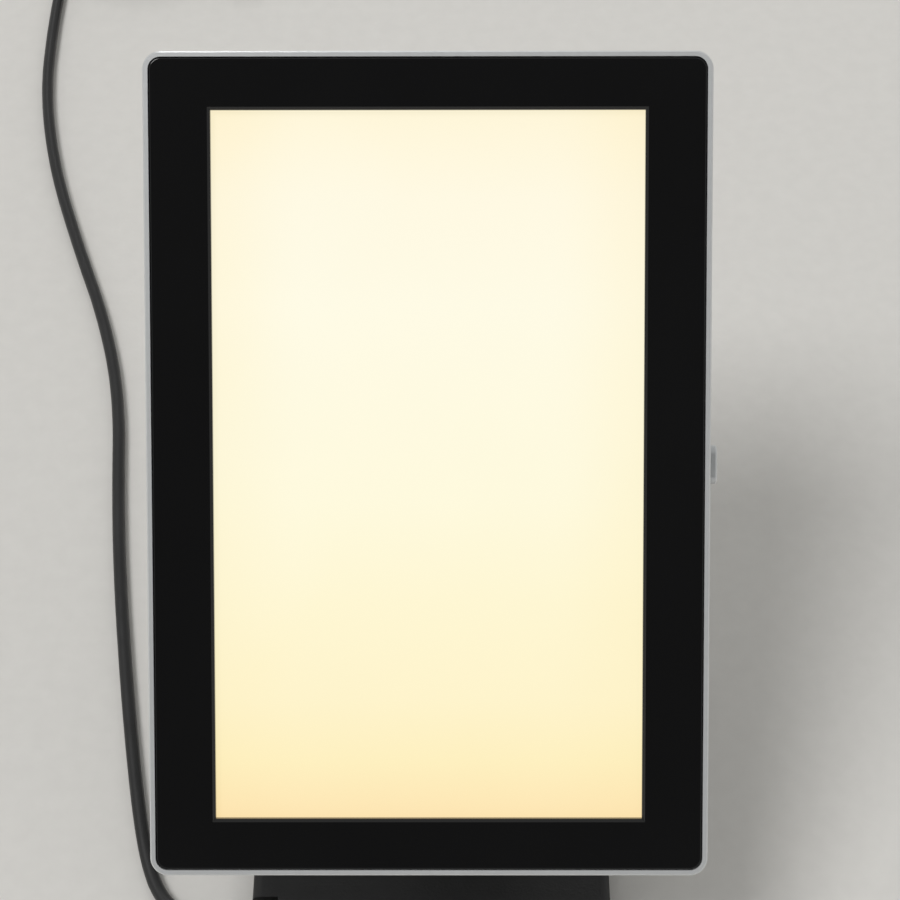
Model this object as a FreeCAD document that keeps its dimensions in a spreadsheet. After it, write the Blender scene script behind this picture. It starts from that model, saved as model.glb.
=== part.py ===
import FreeCAD, Part
import math
import os
import Sketcher
from FreeCAD import Rotation, Vector

# A light therapy lamp. An edge-lit panel in a glossy black frame and a satin silver tray leans
# back on a friction hinge. A short raked arm carries the hinge above a weighted base. The power
# button is on the panel's right flank, and the low-voltage lead leaves the base's left side.
#
# Millimetres, +Z up, +X to the lamp's right as seen from its lit side, the lit side towards -Y.
# The origin is on the table, straight below the hinge axis.
#
# The pieces of the panel are drawn in the panel's own frame: x across it, y up it from its
# middle and z through it, from 0 on the back to panel_depth on the rim of the lit side.

SIZES = {
    # the panel's tray and frame
    "panel_width": 157.0,
    "panel_height": 230.0,
    "panel_depth": 22.0,
    "panel_corner": 5.0,
    "back_round": 2.5,
    "rim": 1.5,
    "rim_chamfer": 0.4,
    "back_wall": 2.0,
    "frame_depth": 2.4,
    "frame_sink": 0.3,
    "frame_gap": 0.15,
    "frame_round": 0.5,
    "window_bevel": 0.8,
    # the sheets behind the window, from the front to the back
    "sheet_overlap": 4.0,
    "sheet_end_room": 10.5,
    "gasket_depth": 0.5,
    "diffuser_depth": 2.0,
    "film_depth": 0.4,
    "guide_depth": 4.0,
    "reflector_depth": 0.4,
    "spreader_depth": 1.0,
    "strip_depth": 1.0,
    "strip_end_gap": 2.0,
    "led_depth": 0.9,
    "led_gap": 0.3,
    "led_length": 5.0,
    "led_height": 3.0,
    "led_count": 28.0,
    # the screws that close the panel, with their bosses, and the posts under the sheets
    "screw_radius": 1.45,
    "screw_head": 2.7,
    "screw_head_depth": 1.8,
    "screw_length": 15.0,
    "screw_sink": 2.4,
    "head_sink": 0.2,
    "thread_gap": 0.03,
    "hole_gap": 0.2,
    "tip_gap": 0.3,
    "seat_gap": 0.1,
    "cut_past": 1.0,
    "boss_radius": 3.8,
    "boss_inset": 6.2,
    "boss_top": 11.8,
    "boss_gap": 1.3,
    "side_boss_up": 40.0,
    "post_radius": 3.0,
    "post_across": 50.0,
    "post_from_end": 30.0,
    "vent_width": 2.5,
    "vent_length": 28.0,
    "vent_pitch": 8.0,
    "vent_count": 10.0,
    "vent_from_end": 27.0,
    # the driver board
    "board_width": 70.0,
    "board_length": 34.0,
    "board_depth": 1.6,
    "board_up": 32.0,
    "board_lift": 3.0,
    "board_inset": 4.0,
    "board_post": 2.6,
    "board_screw": 1.05,
    "board_screw_head": 2.0,
    "board_screw_depth": 1.3,
    "board_screw_length": 4.0,
    "choke_radius": 6.0,
    "choke_across": 15.0,
    "can_radius": 3.0,
    "can_pitch": 8.0,
    "component_depth": 3.9,
    "chip_width": 6.0,
    "chip_length": 5.0,
    "chip_depth": 1.5,
    "socket_length": 8.0,
    "socket_width": 5.0,
    "socket_across": 22.0,
    "wire_radius": 0.4,
    "wire_rise": 4.0,
    "wire_bend": 2.5,
    # the power button and its switch
    "button_length": 11.0,
    "button_width": 5.0,
    "button_proud": 3.3,
    "button_travel": 1.0,
    "button_level": 7.0,
    "button_gap": 0.3,
    "button_flat": 0.04,
    "button_round": 0.6,
    "button_lip": 1.3,
    "button_lip_depth": 1.5,
    "stem_radius": 1.6,
    "stem_length": 1.6,
    "guide_flange": 0.6,
    "guide_border": 2.0,
    "guide_corner": 2.4,
    "guide_wall": 0.9,
    "plunger_radius": 1.5,
    "plunger_depth": 0.6,
    "switch_side": 6.0,
    "switch_depth": 3.4,
    "switch_board_length": 14.0,
    "switch_board_height": 8.0,
    # the tilt hinge
    "lean": 50.0,
    "hinge_height": 92.0,
    "hinge_up": 80.0,
    "hinge_back": 13.0,
    "knuckle_radius": 8.0,
    "knuckle_width": 18.0,
    "washer_radius": 7.0,
    "washer_depth": 0.8,
    "washer_gap": 0.1,
    "ear_depth": 4.0,
    "pin_radius": 3.0,
    "pin_gap": 0.05,
    "pin_reach": 3.8,
    "pin_head": 4.6,
    "pin_head_depth": 2.2,
    "cap_radius": 6.4,
    "cap_wall": 1.2,
    "bracket_width": 52.0,
    "bracket_length": 30.0,
    "bracket_depth": 3.0,
    "bracket_screw_across": 19.0,
    "bracket_screw_up": 10.0,
    "bracket_screw_length": 5.6,
    "backing_depth": 1.5,
    # the arm
    "arm_rake": 21.0,
    "arm_width": 30.0,
    "arm_depth": 12.0,
    "arm_round": 3.0,
    "neck_length": 13.0,
    "shoulder_round": 2.5,
    "foot_width": 46.0,
    "foot_length": 34.0,
    "foot_depth": 6.0,
    "foot_corner": 8.0,
    "foot_round": 1.5,
    "foot_skin": 0.8,
    "hinge_room": 3.7,
    "hinge_room_half": 4.0,
    "arm_screw": 1.95,
    "arm_screw_head": 3.6,
    "arm_screw_depth": 2.2,
    "arm_screw_length": 13.0,
    "arm_screw_across": 17.0,
    "arm_screw_along": 10.0,
    "slot_cover_width": 8.0,
    "slot_cover_depth": 2.4,
    "slot_cover_start": 15.0,
    "slot_cover_end": 70.0,
    # the base
    "base_width": 110.0,
    "base_front": 92.0,
    "base_margin": 3.0,
    "base_top": 14.0,
    "base_corner": 10.0,
    "base_round": 3.0,
    "base_wall": 2.2,
    "base_roof": 2.5,
    "bottom_depth": 2.0,
    "notch_depth": 8.0,
    "notch_width": 12.0,
    "mat_depth": 1.5,
    "mat_gap": 0.65,
    "mat_inset": 8.0,
    "mat_corner": 8.0,
    "base_boss": 3.6,
    "base_boss_inset": 6.5,
    "base_boss_from_front": 8.0,
    "base_boss_from_back": 26.0,
    "base_screw_length": 5.0,
    "base_screw_floor": 0.6,
    "weight_inset": 12.0,
    "weight_from_clamp": 7.8,
    "weight_gap": 1.0,
    "weight_slot": 6.0,
    "weight_slot_past": 5.0,
    "lead_slot": 14.0,
    "lead_slot_shift": 2.0,
    # the lead and what holds it
    "lead_radius": 2.25,
    "core_radius": 1.5,
    "core_gap": 0.4,
    "core_bend": 5.0,
    "core_corner": 4.6,
    "ball_growth": 0.5,
    "lead_from_front": 20.0,
    "lead_height": 7.5,
    "relief_length": 12.0,
    "relief_root": 3.4,
    "relief_tip": 2.7,
    "relief_flange": 3.9,
    "relief_flange_depth": 1.5,
    "relief_bore_gap": 0.05,
    "clamp_width": 8.0,
    "clamp_length": 18.0,
    "clamp_depth": 3.3,
    "clamp_inset": 8.0,
    "clamp_screw_length": 4.5,
    "coil_middle": 24.8,
    "coil_width": 13.5,
    "coil_height": 9.0,
    "coil_round": 2.0,
    "tie_width": 9.0,
    "tie_depth": 1.2,
    "grip_length": 24.0,
    "grip_width": 11.0,
    "grip_depth": 7.0,
    "grip_round": 1.6,
    "shell_length": 12.0,
    "shell_width": 12.0,
    "shell_depth": 4.5,
    "shell_wall": 0.3,
    "tongue_depth": 1.9,
    "tongue_sink": 0.6,
}

# The lead lies on the table: from the base's left side it turns back, passes the panel and
# ends in a tied coil. These points follow the exit; the last one is inside the coil.
LEAD_ROUTE = [
    (-66.5, -72.0, 7.5),
    (-76.0, -69.2, 5.2),
    (-83.6, -62.6, 2.9),
    (-88.6, -53.0, 2.25),
    (-93.2, -36.0, 2.25),
    (-99.8, 0.0, 2.25),
    (-107.4, 50.0, 2.25),
    (-112.0, 90.0, 2.25),
    (-115.6, 135.0, 2.25),
    (-124.6, 172.0, 2.25),
    (-138.0, 208.0, 2.25),
    (-152.0, 250.0, 2.25),
    (-160.3, 292.0, 2.25),
    (-159.8, 330.0, 2.25),
    (-154.2, 362.0, 2.25),
    (-151.8, 392.0, 2.25),
]
COIL_CENTRE = (-127.0, 392.0)
TAIL_ROUTE = [
    (-134.0, 420.2, 2.25),
    (-117.5, 421.8, 2.25),
    (-101.5, 416.5, 2.8),
    (-91.2, 405.0, 3.5),
    (-88.5, 391.0, 3.5),
]
RUN_SHARE = 0.45

doc = FreeCAD.newDocument("light_therapy_lamp")
sheet = doc.addObject("Spreadsheet::Sheet", "Sizes")
nodes = {}


class Size:
    """A size: its value now, and its formula in the sheet's words."""

    def __init__(self, value, formula):
        self.value = value
        self.formula = formula

    def __add__(self, other):
        other = as_size(other)
        return Size(self.value + other.value, f"({self.formula} + {other.formula})")

    def __sub__(self, other):
        other = as_size(other)
        return Size(self.value - other.value, f"({self.formula} - {other.formula})")

    def __mul__(self, other):
        other = as_size(other)
        return Size(self.value * other.value, f"({self.formula} * {other.formula})")

    def __truediv__(self, other):
        other = as_size(other)
        return Size(self.value / other.value, f"({self.formula} / {other.formula})")

    def __neg__(self):
        return Size(-self.value, f"(0 - {self.formula})")

    def __radd__(self, other):
        return as_size(other) + self

    def __rsub__(self, other):
        return as_size(other) - self

    def __rmul__(self, other):
        return as_size(other) * self


def as_size(number):
    return number if isinstance(number, Size) else Size(float(number), f"({float(number)})")


def sine(angle):
    return Size(math.sin(math.radians(angle.value)), f"sin({angle.formula} * 1deg)")


def cosine(angle):
    return Size(math.cos(math.radians(angle.value)), f"cos({angle.formula} * 1deg)")


class Sizes:
    """The sheet's sizes by name, as in size.rim."""


def fill_sheet():
    for row, (name, value) in enumerate(SIZES.items(), 1):
        sheet.set(f"A{row}", name)
        sheet.set(f"B{row}", str(value))
        sheet.setAlias(f"B{row}", name)
        setattr(Sizes, name, Size(value, f"Sizes.{name}"))
    doc.recompute()
    return Sizes


size = fill_sheet()

# ---------------------------------------------------------------- ways of drawing


def bind(thing, name, amount):
    thing.setExpression(name, as_size(amount).formula)


def pose(x, y, z, axis=(0, 0, 1), angle=0, frame=""):
    """The formula of a placement, in a frame if one is named."""
    x, y, z, angle = (as_size(amount).formula for amount in (x, y, z, angle))
    turn = f"rotation(vector({axis[0]}; {axis[1]}; {axis[2]}); {angle})"
    return f"{frame}placement(vector({x}; {y}; {z}); {turn})"


def keep(name, thing):
    """Makes the thing the node of that name."""
    thing.Label = name
    nodes[name] = thing
    return thing


def new_body(name, placement=None):
    body = keep(name, doc.addObject("PartDesign::Body", name))
    if placement:
        body.setExpression("Placement", placement)
    return body


def rectangle(x, y, width, height):
    """A rectangle's corners from its middle and its two sides."""
    left, right = x - as_size(width) / 2, x + as_size(width) / 2
    low, high = y - as_size(height) / 2, y + as_size(height) / 2
    return [(left, low), (right, low), (right, high), (left, high)]


class Disc:
    """A circle in a sketch."""

    def __init__(self, x, y, radius):
        self.x, self.y, self.radius = as_size(x), as_size(y), as_size(radius)


def hold(sketch, kind, index, point, amount):
    number = sketch.addConstraint(Sketcher.Constraint(kind, -1, 1, index, point, amount.value))
    sketch.setExpression(f"Constraints[{number}]", amount.formula)


def draw_disc(sketch, disc):
    middle = Vector(disc.x.value, disc.y.value, 0)
    index = sketch.addGeometry(Part.Circle(middle, Vector(0, 0, 1), disc.radius.value), False)
    hold(sketch, "DistanceX", index, 3, disc.x)
    hold(sketch, "DistanceY", index, 3, disc.y)
    number = sketch.addConstraint(Sketcher.Constraint("Radius", index, disc.radius.value))
    sketch.setExpression(f"Constraints[{number}]", disc.radius.formula)


def draw_outline(sketch, corners):
    corners = [(as_size(x), as_size(y)) for x, y in corners]
    ends = [Vector(x.value, y.value, 0) for x, y in corners]
    first = sketch.GeometryCount
    for start, end in zip(ends, ends[1:] + ends[:1]):
        sketch.addGeometry(Part.LineSegment(start, end), False)
    count = len(ends)
    for i in range(count):
        joint = Sketcher.Constraint("Coincident", first + i, 2, first + (i + 1) % count, 1)
        sketch.addConstraint(joint)
    for i, (x, y) in enumerate(corners):
        hold(sketch, "DistanceX", first + i, 1, x)
        hold(sketch, "DistanceY", first + i, 1, y)


def draw(body, plane, level, shapes):
    """A sketch of discs and outlines on one of the body's planes, at a level along its normal."""
    sketch = body.newObject("Sketcher::SketchObject", f"{body.Name}_sketch")
    support = next(item for item in body.Origin.OriginFeatures if item.Role == plane)
    sketch.AttachmentSupport = [(support, "")]
    sketch.MapMode = "FlatFace"
    bind(sketch, ".AttachmentOffset.Base.z", level)
    for shape in shapes:
        if isinstance(shape, Disc):
            draw_disc(sketch, shape)
        else:
            draw_outline(sketch, shape)
    sketch.Visibility = False
    return sketch


def pad(body, plane, level, length, *shapes):
    """Adds material from the level on, along the plane's normal."""
    feature = body.newObject("PartDesign::Pad", f"{body.Name}_pad")
    feature.Profile = draw(body, plane, level, shapes)
    bind(feature, "Length", length)
    doc.recompute()
    return feature


def cut(body, plane, level, depth, *shapes):
    """Takes material away from the level back, against the plane's normal."""
    before = body.Shape.Volume
    feature = body.newObject("PartDesign::Pocket", f"{body.Name}_pocket")
    feature.Profile = draw(body, plane, level, shapes)
    bind(feature, "Length", depth)
    doc.recompute()
    if body.Shape.Volume >= before:
        raise ValueError(f"a cut in {body.Name} takes nothing away")
    return feature


def soften(body, kind, amount, chosen):
    """A fillet or chamfer on the edges for which chosen(edge) is true."""
    last = body.Tip
    names = [f"Edge{i}" for i, edge in enumerate(last.Shape.Edges, 1) if chosen(edge)]
    if not names:
        raise ValueError(f"no edge to soften on {body.Name}")
    feature = body.newObject(f"PartDesign::{kind}", f"{body.Name}_{kind.lower()}")
    feature.Base = (last, names)
    bind(feature, "Radius" if kind == "Fillet" else "Size", amount)
    doc.recompute()
    return feature


def near(a, b):
    return abs(a - b) < 0.01


def upright(edge):
    """True for a straight edge along the body's own z."""
    return edge.Curve.TypeId == "Part::GeomLine" and near(abs(edge.tangentAt(edge.FirstParameter).z), 1)


def at_level(edge, level):
    return near(edge.BoundBox.ZMin, level.value) and near(edge.BoundBox.ZMax, level.value)


def corner_of(edge, x, y):
    """True for an upright edge at (±x, ±y)."""
    place = edge.CenterOfMass
    return upright(edge) and near(abs(place.x), abs(x)) and near(abs(place.y), abs(y))


def block(name, x, y, z, width, length, depth, frame=""):
    """A plain box from its middle in x and y and its low side in z."""
    box = doc.addObject("Part::Box", name)
    bind(box, "Length", width)
    bind(box, "Width", length)
    bind(box, "Height", depth)
    box.setExpression("Placement", pose(x - as_size(width) / 2, y - as_size(length) / 2, z, frame=frame))
    return box


ALONG = {
    "+x": ((0, 1, 0), 90),
    "-x": ((0, 1, 0), -90),
    "+z": ((0, 0, 1), 0),
    "-z": ((1, 0, 0), 180),
}


def rod(name, x, y, z, along, radius, length):
    """A cylinder that starts at a point and runs along an axis."""
    cylinder = doc.addObject("Part::Cylinder", name)
    bind(cylinder, "Radius", radius)
    bind(cylinder, "Height", length)
    axis, angle = ALONG[along]
    cylinder.setExpression("Placement", pose(x, y, z, axis, angle))
    return cylinder


def shift(x, y, z, along, amount):
    """The point moved along an axis."""
    amount = as_size(amount) if along[0] == "+" else -as_size(amount)
    return (x + amount, y, z) if along[1] == "x" else (x, y, z + amount)


def screw(name, x, y, z, along, head, head_depth, radius, length):
    """A screw whose head starts at the point, with its shank along the axis."""
    top = rod(f"{name}_head", x, y, z, along, head, head_depth)
    under = shift(x, y, z, along, head_depth)
    shank = rod(f"{name}_shank", *under, along, radius, length)
    return joined(name, top, shank)


def joined(name, first, second):
    fuse = doc.addObject("Part::Fuse", name)
    fuse.Base = first
    fuse.Tool = second
    return fuse


def without(name, first, second):
    rest = doc.addObject("Part::Cut", name)
    rest.Base = first
    rest.Tool = second
    return rest


def group(name, members, frame=""):
    """Separate solids of one kind, as one node."""
    compound = keep(name, doc.addObject("Part::Compound", name))
    compound.Links = members
    if frame:
        compound.setExpression("Placement", pose(0, 0, 0, frame=frame))
    return compound


def rounded_path(route, bends):
    """Straight runs through the route's points, joined by tangent arcs of the bends' radii."""
    edges = []
    start = route[0]
    for before, corner, after, bend in zip(route, route[1:], route[2:], bends):
        into = (corner - before).normalize()
        out = (after - corner).normalize()
        half_turn = into.getAngle(out) / 2
        first = corner - into * (bend * math.tan(half_turn))
        last = corner + out * (bend * math.tan(half_turn))
        inward = (out - into).normalize()
        middle = corner + inward * (bend / math.cos(half_turn) - bend)
        edges.append(Part.LineSegment(start, first).toShape())
        edges.append(Part.Arc(first, middle, last).toShape())
        start = last
    edges.append(Part.LineSegment(start, route[-1]).toShape())
    return Part.Wire(edges)


def tube_shape(route, bends, radius):
    path = rounded_path(route, bends)
    section = Part.Wire([Part.Circle(route[0], route[1] - route[0], radius).toShape()])
    tube = path.makePipeShell([section], True, False)
    full = math.pi * radius ** 2 * path.Length
    if abs(tube.Volume / full - 1) > 0.01:
        raise ValueError("a tube's volume isn't its section times its length")
    return tube, path.Length


def widest_bends(route):
    """Each bend as large as its two runs allow."""
    bends = []
    for before, corner, after in zip(route, route[1:], route[2:]):
        into, out = corner - before, after - corner
        shorter = min(into.Length, out.Length)
        bends.append(RUN_SHARE * shorter / math.tan(into.getAngle(out) / 2))
    return bends


def computed(name, shape, placement=None):
    """A node whose shape is worked out here from the sheet's sizes."""
    feature = keep(name, doc.addObject("Part::Feature", name))
    feature.Shape = shape
    if placement:
        feature.Placement = placement
    return feature


# ---------------------------------------------------------------- places in the panel

half_width = size.panel_width / 2
half_height = size.panel_height / 2
inner_half_width = half_width - size.rim
frame_front = size.panel_depth - size.frame_sink
frame_back = frame_front - size.frame_depth
diffuser_front = frame_back - size.gasket_depth
film_front = diffuser_front - size.diffuser_depth
guide_front = film_front - size.film_depth
reflector_front = guide_front - size.guide_depth
spreader_front = reflector_front - size.reflector_depth
spreader_back = spreader_front - size.spreader_depth
boss_across = half_width - size.boss_inset
boss_up = half_height - size.boss_inset
spreader_half = boss_across - size.boss_radius - size.boss_gap
strip_outer = spreader_half - size.spreader_depth
strip_inner = strip_outer - size.strip_depth
led_inner = strip_inner - size.led_depth
sheet_width = 2 * (led_inner - size.led_gap)
sheet_height = 2 * (half_height - size.rim - size.sheet_end_room)
strip_length = sheet_height - 2 * size.strip_end_gap
window_width = sheet_width - 2 * size.sheet_overlap
window_height = sheet_height - 2 * size.sheet_overlap
hinge_y = size.hinge_up - half_height
lead_hole = size.core_radius + 2 * size.core_gap
ball_radius = size.core_radius + size.ball_growth
board_back = size.back_wall + size.board_lift
board_front = board_back + size.board_depth
ear_inner = size.knuckle_width / 2 + size.washer_depth + 2 * size.washer_gap
ear_outer = ear_inner + size.ear_depth
PANEL = "rear_housing.Placement * "


def boss_places():
    return [
        (sx * boss_across, sy * up)
        for sx in (-1, 1)
        for sy in (-1, 1)
        for up in (boss_up, size.side_boss_up)
    ]


def board_places():
    across = size.board_width / 2 - size.board_inset
    along = size.board_length / 2 - size.board_inset
    return [(sx * across, size.board_up + sy * along) for sx in (-1, 1) for sy in (-1, 1)]


def bracket_places():
    return [
        (sx * size.bracket_screw_across, hinge_y + sy * size.bracket_screw_up)
        for sx in (-1, 1)
        for sy in (-1, 1)
    ]


# ---------------------------------------------------------------- tray and frame


def make_rear_housing():
    """The silver tray: floor, walls, bosses, posts, vents and the button's hole."""
    rise = half_height - size.hinge_up
    y = rise * sine(size.lean) - size.hinge_back * cosine(size.lean)
    z = size.hinge_height + rise * cosine(size.lean) + size.hinge_back * sine(size.lean)
    body = new_body("rear_housing", pose(0, y, z, (1, 0, 0), 90 - size.lean))
    pad(body, "XY_Plane", 0, size.panel_depth, rectangle(0, 0, size.panel_width, size.panel_height))
    soften(body, "Fillet", size.panel_corner, upright)
    inside = rectangle(0, 0, size.panel_width - 2 * size.rim, size.panel_height - 2 * size.rim)
    cut(body, "XY_Plane", size.panel_depth, size.panel_depth - size.back_wall, inside)
    x_in, y_in = inner_half_width.value, half_height.value - size.rim.value
    soften(body, "Fillet", size.panel_corner - size.rim, lambda edge: corner_of(edge, x_in, y_in))
    bosses = [Disc(x, y, size.boss_radius) for x, y in boss_places()]
    pad(body, "XY_Plane", size.back_wall, size.boss_top - size.back_wall, *bosses)
    post_up = half_height - size.post_from_end
    places = [(sx * size.post_across, sy * post_up) for sx in (-1, 1) for sy in (-1, 0, 1)]
    posts = [Disc(x, y, size.post_radius) for x, y in places]
    pad(body, "XY_Plane", size.back_wall, spreader_back - size.back_wall, *posts)
    board_posts = [Disc(x, y, size.board_post) for x, y in board_places()]
    pad(body, "XY_Plane", size.back_wall, size.board_lift, *board_posts)
    cut_housing_holes(body)

    def outermost(edge, level):
        box = edge.BoundBox
        wide, tall = max(-box.XMin, box.XMax), max(-box.YMin, box.YMax)
        return at_level(edge, level) and (wide > x_in + 0.1 or tall > y_in + 0.1)

    soften(body, "Chamfer", size.rim_chamfer, lambda edge: outermost(edge, size.panel_depth))
    soften(body, "Fillet", size.back_round, lambda edge: outermost(edge, as_size(0)))


def cut_housing_holes(body):
    places = boss_places()
    clear = [Disc(x, y, size.screw_radius + size.hole_gap) for x, y in places]
    cut(body, "XY_Plane", size.boss_top, size.boss_top, *clear)
    sunk = [Disc(x, y, size.screw_head + size.hole_gap) for x, y in places]
    cut(body, "XY_Plane", size.screw_sink, size.screw_sink, *sunk)
    pilots = [Disc(x, y, size.board_screw + size.thread_gap) for x, y in board_places()]
    cut(body, "XY_Plane", board_back, size.board_lift, *pilots)
    bracket_holes = [Disc(x, y, size.screw_radius + size.hole_gap) for x, y in bracket_places()]
    cut(body, "XY_Plane", size.back_wall, size.back_wall, Disc(0, hinge_y, lead_hole), *bracket_holes)
    vent_up = half_height - size.vent_from_end
    count = round(size.vent_count.value)
    middle = (count - 1) / 2
    vents = [
        rectangle((i - middle) * size.vent_pitch, vent_up, size.vent_width, size.vent_length)
        for i in range(count)
    ]
    cut(body, "XY_Plane", size.back_wall, size.back_wall, *vents)
    hole_length = size.button_length + 2 * (size.button_gap + size.guide_wall + size.hole_gap)
    hole_width = size.button_width + 2 * (size.button_gap + size.guide_wall + size.hole_gap)
    hole = rectangle(0, size.button_level, hole_length, hole_width)
    cut(body, "YZ_Plane", half_width, size.rim, hole)


def make_front_frame():
    """The glossy black frame round the window, with the pillars that its screws bite into."""
    body = new_body("front_frame", pose(0, 0, 0, frame=PANEL))
    shrink = 2 * (size.rim + size.frame_gap)
    outer = rectangle(0, 0, size.panel_width - shrink, size.panel_height - shrink)
    pad(body, "XY_Plane", frame_back, size.frame_depth, outer)
    soften(body, "Fillet", size.panel_corner - size.rim - size.frame_gap, upright)
    soften(body, "Fillet", size.frame_round, lambda edge: at_level(edge, frame_front))
    window = rectangle(0, 0, window_width, window_height)
    cut(body, "XY_Plane", frame_front, size.frame_depth, window)
    reach = window_height.value / 2 + 1

    def window_edge(edge):
        place = edge.CenterOfMass
        inside = abs(place.y) < reach and abs(place.x) < window_width.value / 2 + 1
        return at_level(edge, frame_front) and inside

    soften(body, "Chamfer", size.window_bevel, window_edge)
    places = boss_places()
    start = size.boss_top + size.seat_gap
    pillars = [Disc(x, y, size.boss_radius) for x, y in places]
    pad(body, "XY_Plane", start, frame_back - start, *pillars)
    pilots = [Disc(x, y, size.screw_radius + size.thread_gap) for x, y in places]
    deep = size.screw_sink + size.screw_length + size.tip_gap
    cut(body, "XY_Plane", deep, deep - start, *pilots)


def make_housing_screws():
    screws = [
        screw(
            f"housing_screw_{i}", x, y, size.screw_sink - size.screw_head_depth, "+z",
            size.screw_head, size.screw_head_depth, size.screw_radius, size.screw_length,
        )
        for i, (x, y) in enumerate(boss_places())
    ]
    group("housing_screws", screws, PANEL)


# ---------------------------------------------------------------- light


def make_sheets():
    """The flat sheets behind the window: gasket, diffuser, film, light guide and reflector."""
    gasket = new_body("window_gasket", pose(0, 0, 0, frame=PANEL))
    border = size.sheet_overlap / 2
    inner = rectangle(0, 0, window_width + border, window_height + border)
    outer = rectangle(0, 0, sheet_width, sheet_height)
    pad(gasket, "XY_Plane", diffuser_front, size.gasket_depth, outer, inner)
    for name, front, depth in (
        ("diffuser", diffuser_front, size.diffuser_depth),
        ("diffuser_film", film_front, size.film_depth),
        ("light_guide", guide_front, size.guide_depth),
        ("reflector_sheet", reflector_front, size.reflector_depth),
    ):
        keep(name, block(name, 0, 0, front - depth, sheet_width, sheet_height, depth, PANEL))


def make_heat_spreader():
    """A folded aluminium tray: it backs the sheets, and the LED strips are glued to its sides."""
    body = new_body("heat_spreader", pose(0, 0, 0, frame=PANEL))
    floor = rectangle(0, 0, 2 * spreader_half, sheet_height)
    pad(body, "XY_Plane", spreader_back, size.spreader_depth, floor)
    sides = [
        rectangle(sx * (spreader_half - size.spreader_depth / 2), 0, size.spreader_depth, sheet_height)
        for sx in (-1, 1)
    ]
    pad(body, "XY_Plane", spreader_front, guide_front - spreader_front, *sides)


def make_led_strips():
    """One strip of LEDs along each side of the light guide, facing into its edge."""
    low = reflector_front + (size.guide_depth - size.led_height) / 2
    count = round(size.led_count.value)
    middle = (count - 1) / 2
    for side, sx in (("left", -1), ("right", 1)):
        name = f"led_strip_{side}"
        x = sx * (strip_inner + strip_outer) / 2
        height = size.guide_depth
        strip = block(name, x, 0, reflector_front, size.strip_depth, strip_length, height, PANEL)
        keep(name, strip)
        x = sx * (led_inner + size.led_depth / 2)
        leds = []
        for i in range(count):
            y = (i - middle) * strip_length / size.led_count
            led = block(f"led_{side}_{i}", x, y, low, size.led_depth, size.led_length, size.led_height)
            leds.append(led)
        group(f"leds_{side}", leds, PANEL)


# ---------------------------------------------------------------- electronics


def make_driver_board():
    body = new_body("driver_board", pose(0, 0, 0, frame=PANEL))
    board = rectangle(0, size.board_up, size.board_width, size.board_length)
    pad(body, "XY_Plane", board_back, size.board_depth, board)
    holes = [Disc(x, y, size.board_screw + size.hole_gap) for x, y in board_places()]
    cut(body, "XY_Plane", board_front, size.board_depth, *holes)
    start = board_front + size.board_screw_depth
    screws = [
        screw(
            f"board_screw_{i}", x, y, start, "-z", size.board_screw_head,
            size.board_screw_depth, size.board_screw, size.board_screw_length,
        )
        for i, (x, y) in enumerate(board_places())
    ]
    group("board_screws", screws, PANEL)


def make_board_parts():
    """What stands on the driver board: choke, capacitors, chips and wire sockets."""
    up = size.board_up
    deep = size.component_depth
    choke = rod("choke", 0, 0, 0, "+z", size.choke_radius, deep)
    choke.setExpression("Placement", pose(-size.choke_across, up, board_front, frame=PANEL))
    keep("choke", choke)
    cans, chips = [], []
    for i in range(3):
        x = size.can_pitch * (i + 0.5)
        radius, long = size.can_radius, size.chip_length
        cans.append(rod(f"can_{i}", x, up + radius, board_front, "+z", radius, deep))
        chips.append(block(f"chip_{i}", x, up - long, board_front, size.chip_width, long, size.chip_depth))
    group("capacitors", cans, PANEL)
    group("driver_chips", chips, PANEL)
    sockets = [
        block(f"wire_socket_{i}", x, y, board_front, size.socket_length, size.socket_width, deep)
        for i, (x, y) in enumerate(socket_places())
    ]
    group("wire_sockets", sockets, PANEL)


def socket_places():
    """The lead's socket at the board's lower edge, and one for each LED strip at its upper edge."""
    inset = (size.board_length - size.socket_width) / 2
    low, high = size.board_up - inset, size.board_up + inset
    return [(as_size(0), low), (-size.socket_across, high), (size.socket_across, high)]


def make_switch():
    """The push switch behind the power button, on its own small board."""
    tip = stem_end() - size.button_travel - size.seat_gap
    base = tip - size.plunger_depth
    back = base - size.switch_depth
    body = block(
        "switch_case", (base + back) / 2, 0, size.button_level - size.switch_side / 2,
        size.switch_depth, size.switch_side, size.switch_side,
    )
    radius, depth = size.plunger_radius, size.plunger_depth
    plunger = rod("switch_plunger", base, 0, size.button_level, "+x", radius, depth)
    switch = keep("push_switch", joined("push_switch", body, plunger))
    switch.setExpression("Placement", pose(0, 0, 0, frame=PANEL))
    board = block(
        "switch_board", back - size.board_depth / 2, 0, size.back_wall,
        size.board_depth, size.switch_board_length, size.switch_board_height, PANEL,
    )
    keep("switch_board", board)


def stem_end():
    """How far from the middle the power button's stem ends, at rest."""
    lip_front = inner_half_width - size.button_gap
    return lip_front - size.button_lip_depth - size.stem_length


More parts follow.
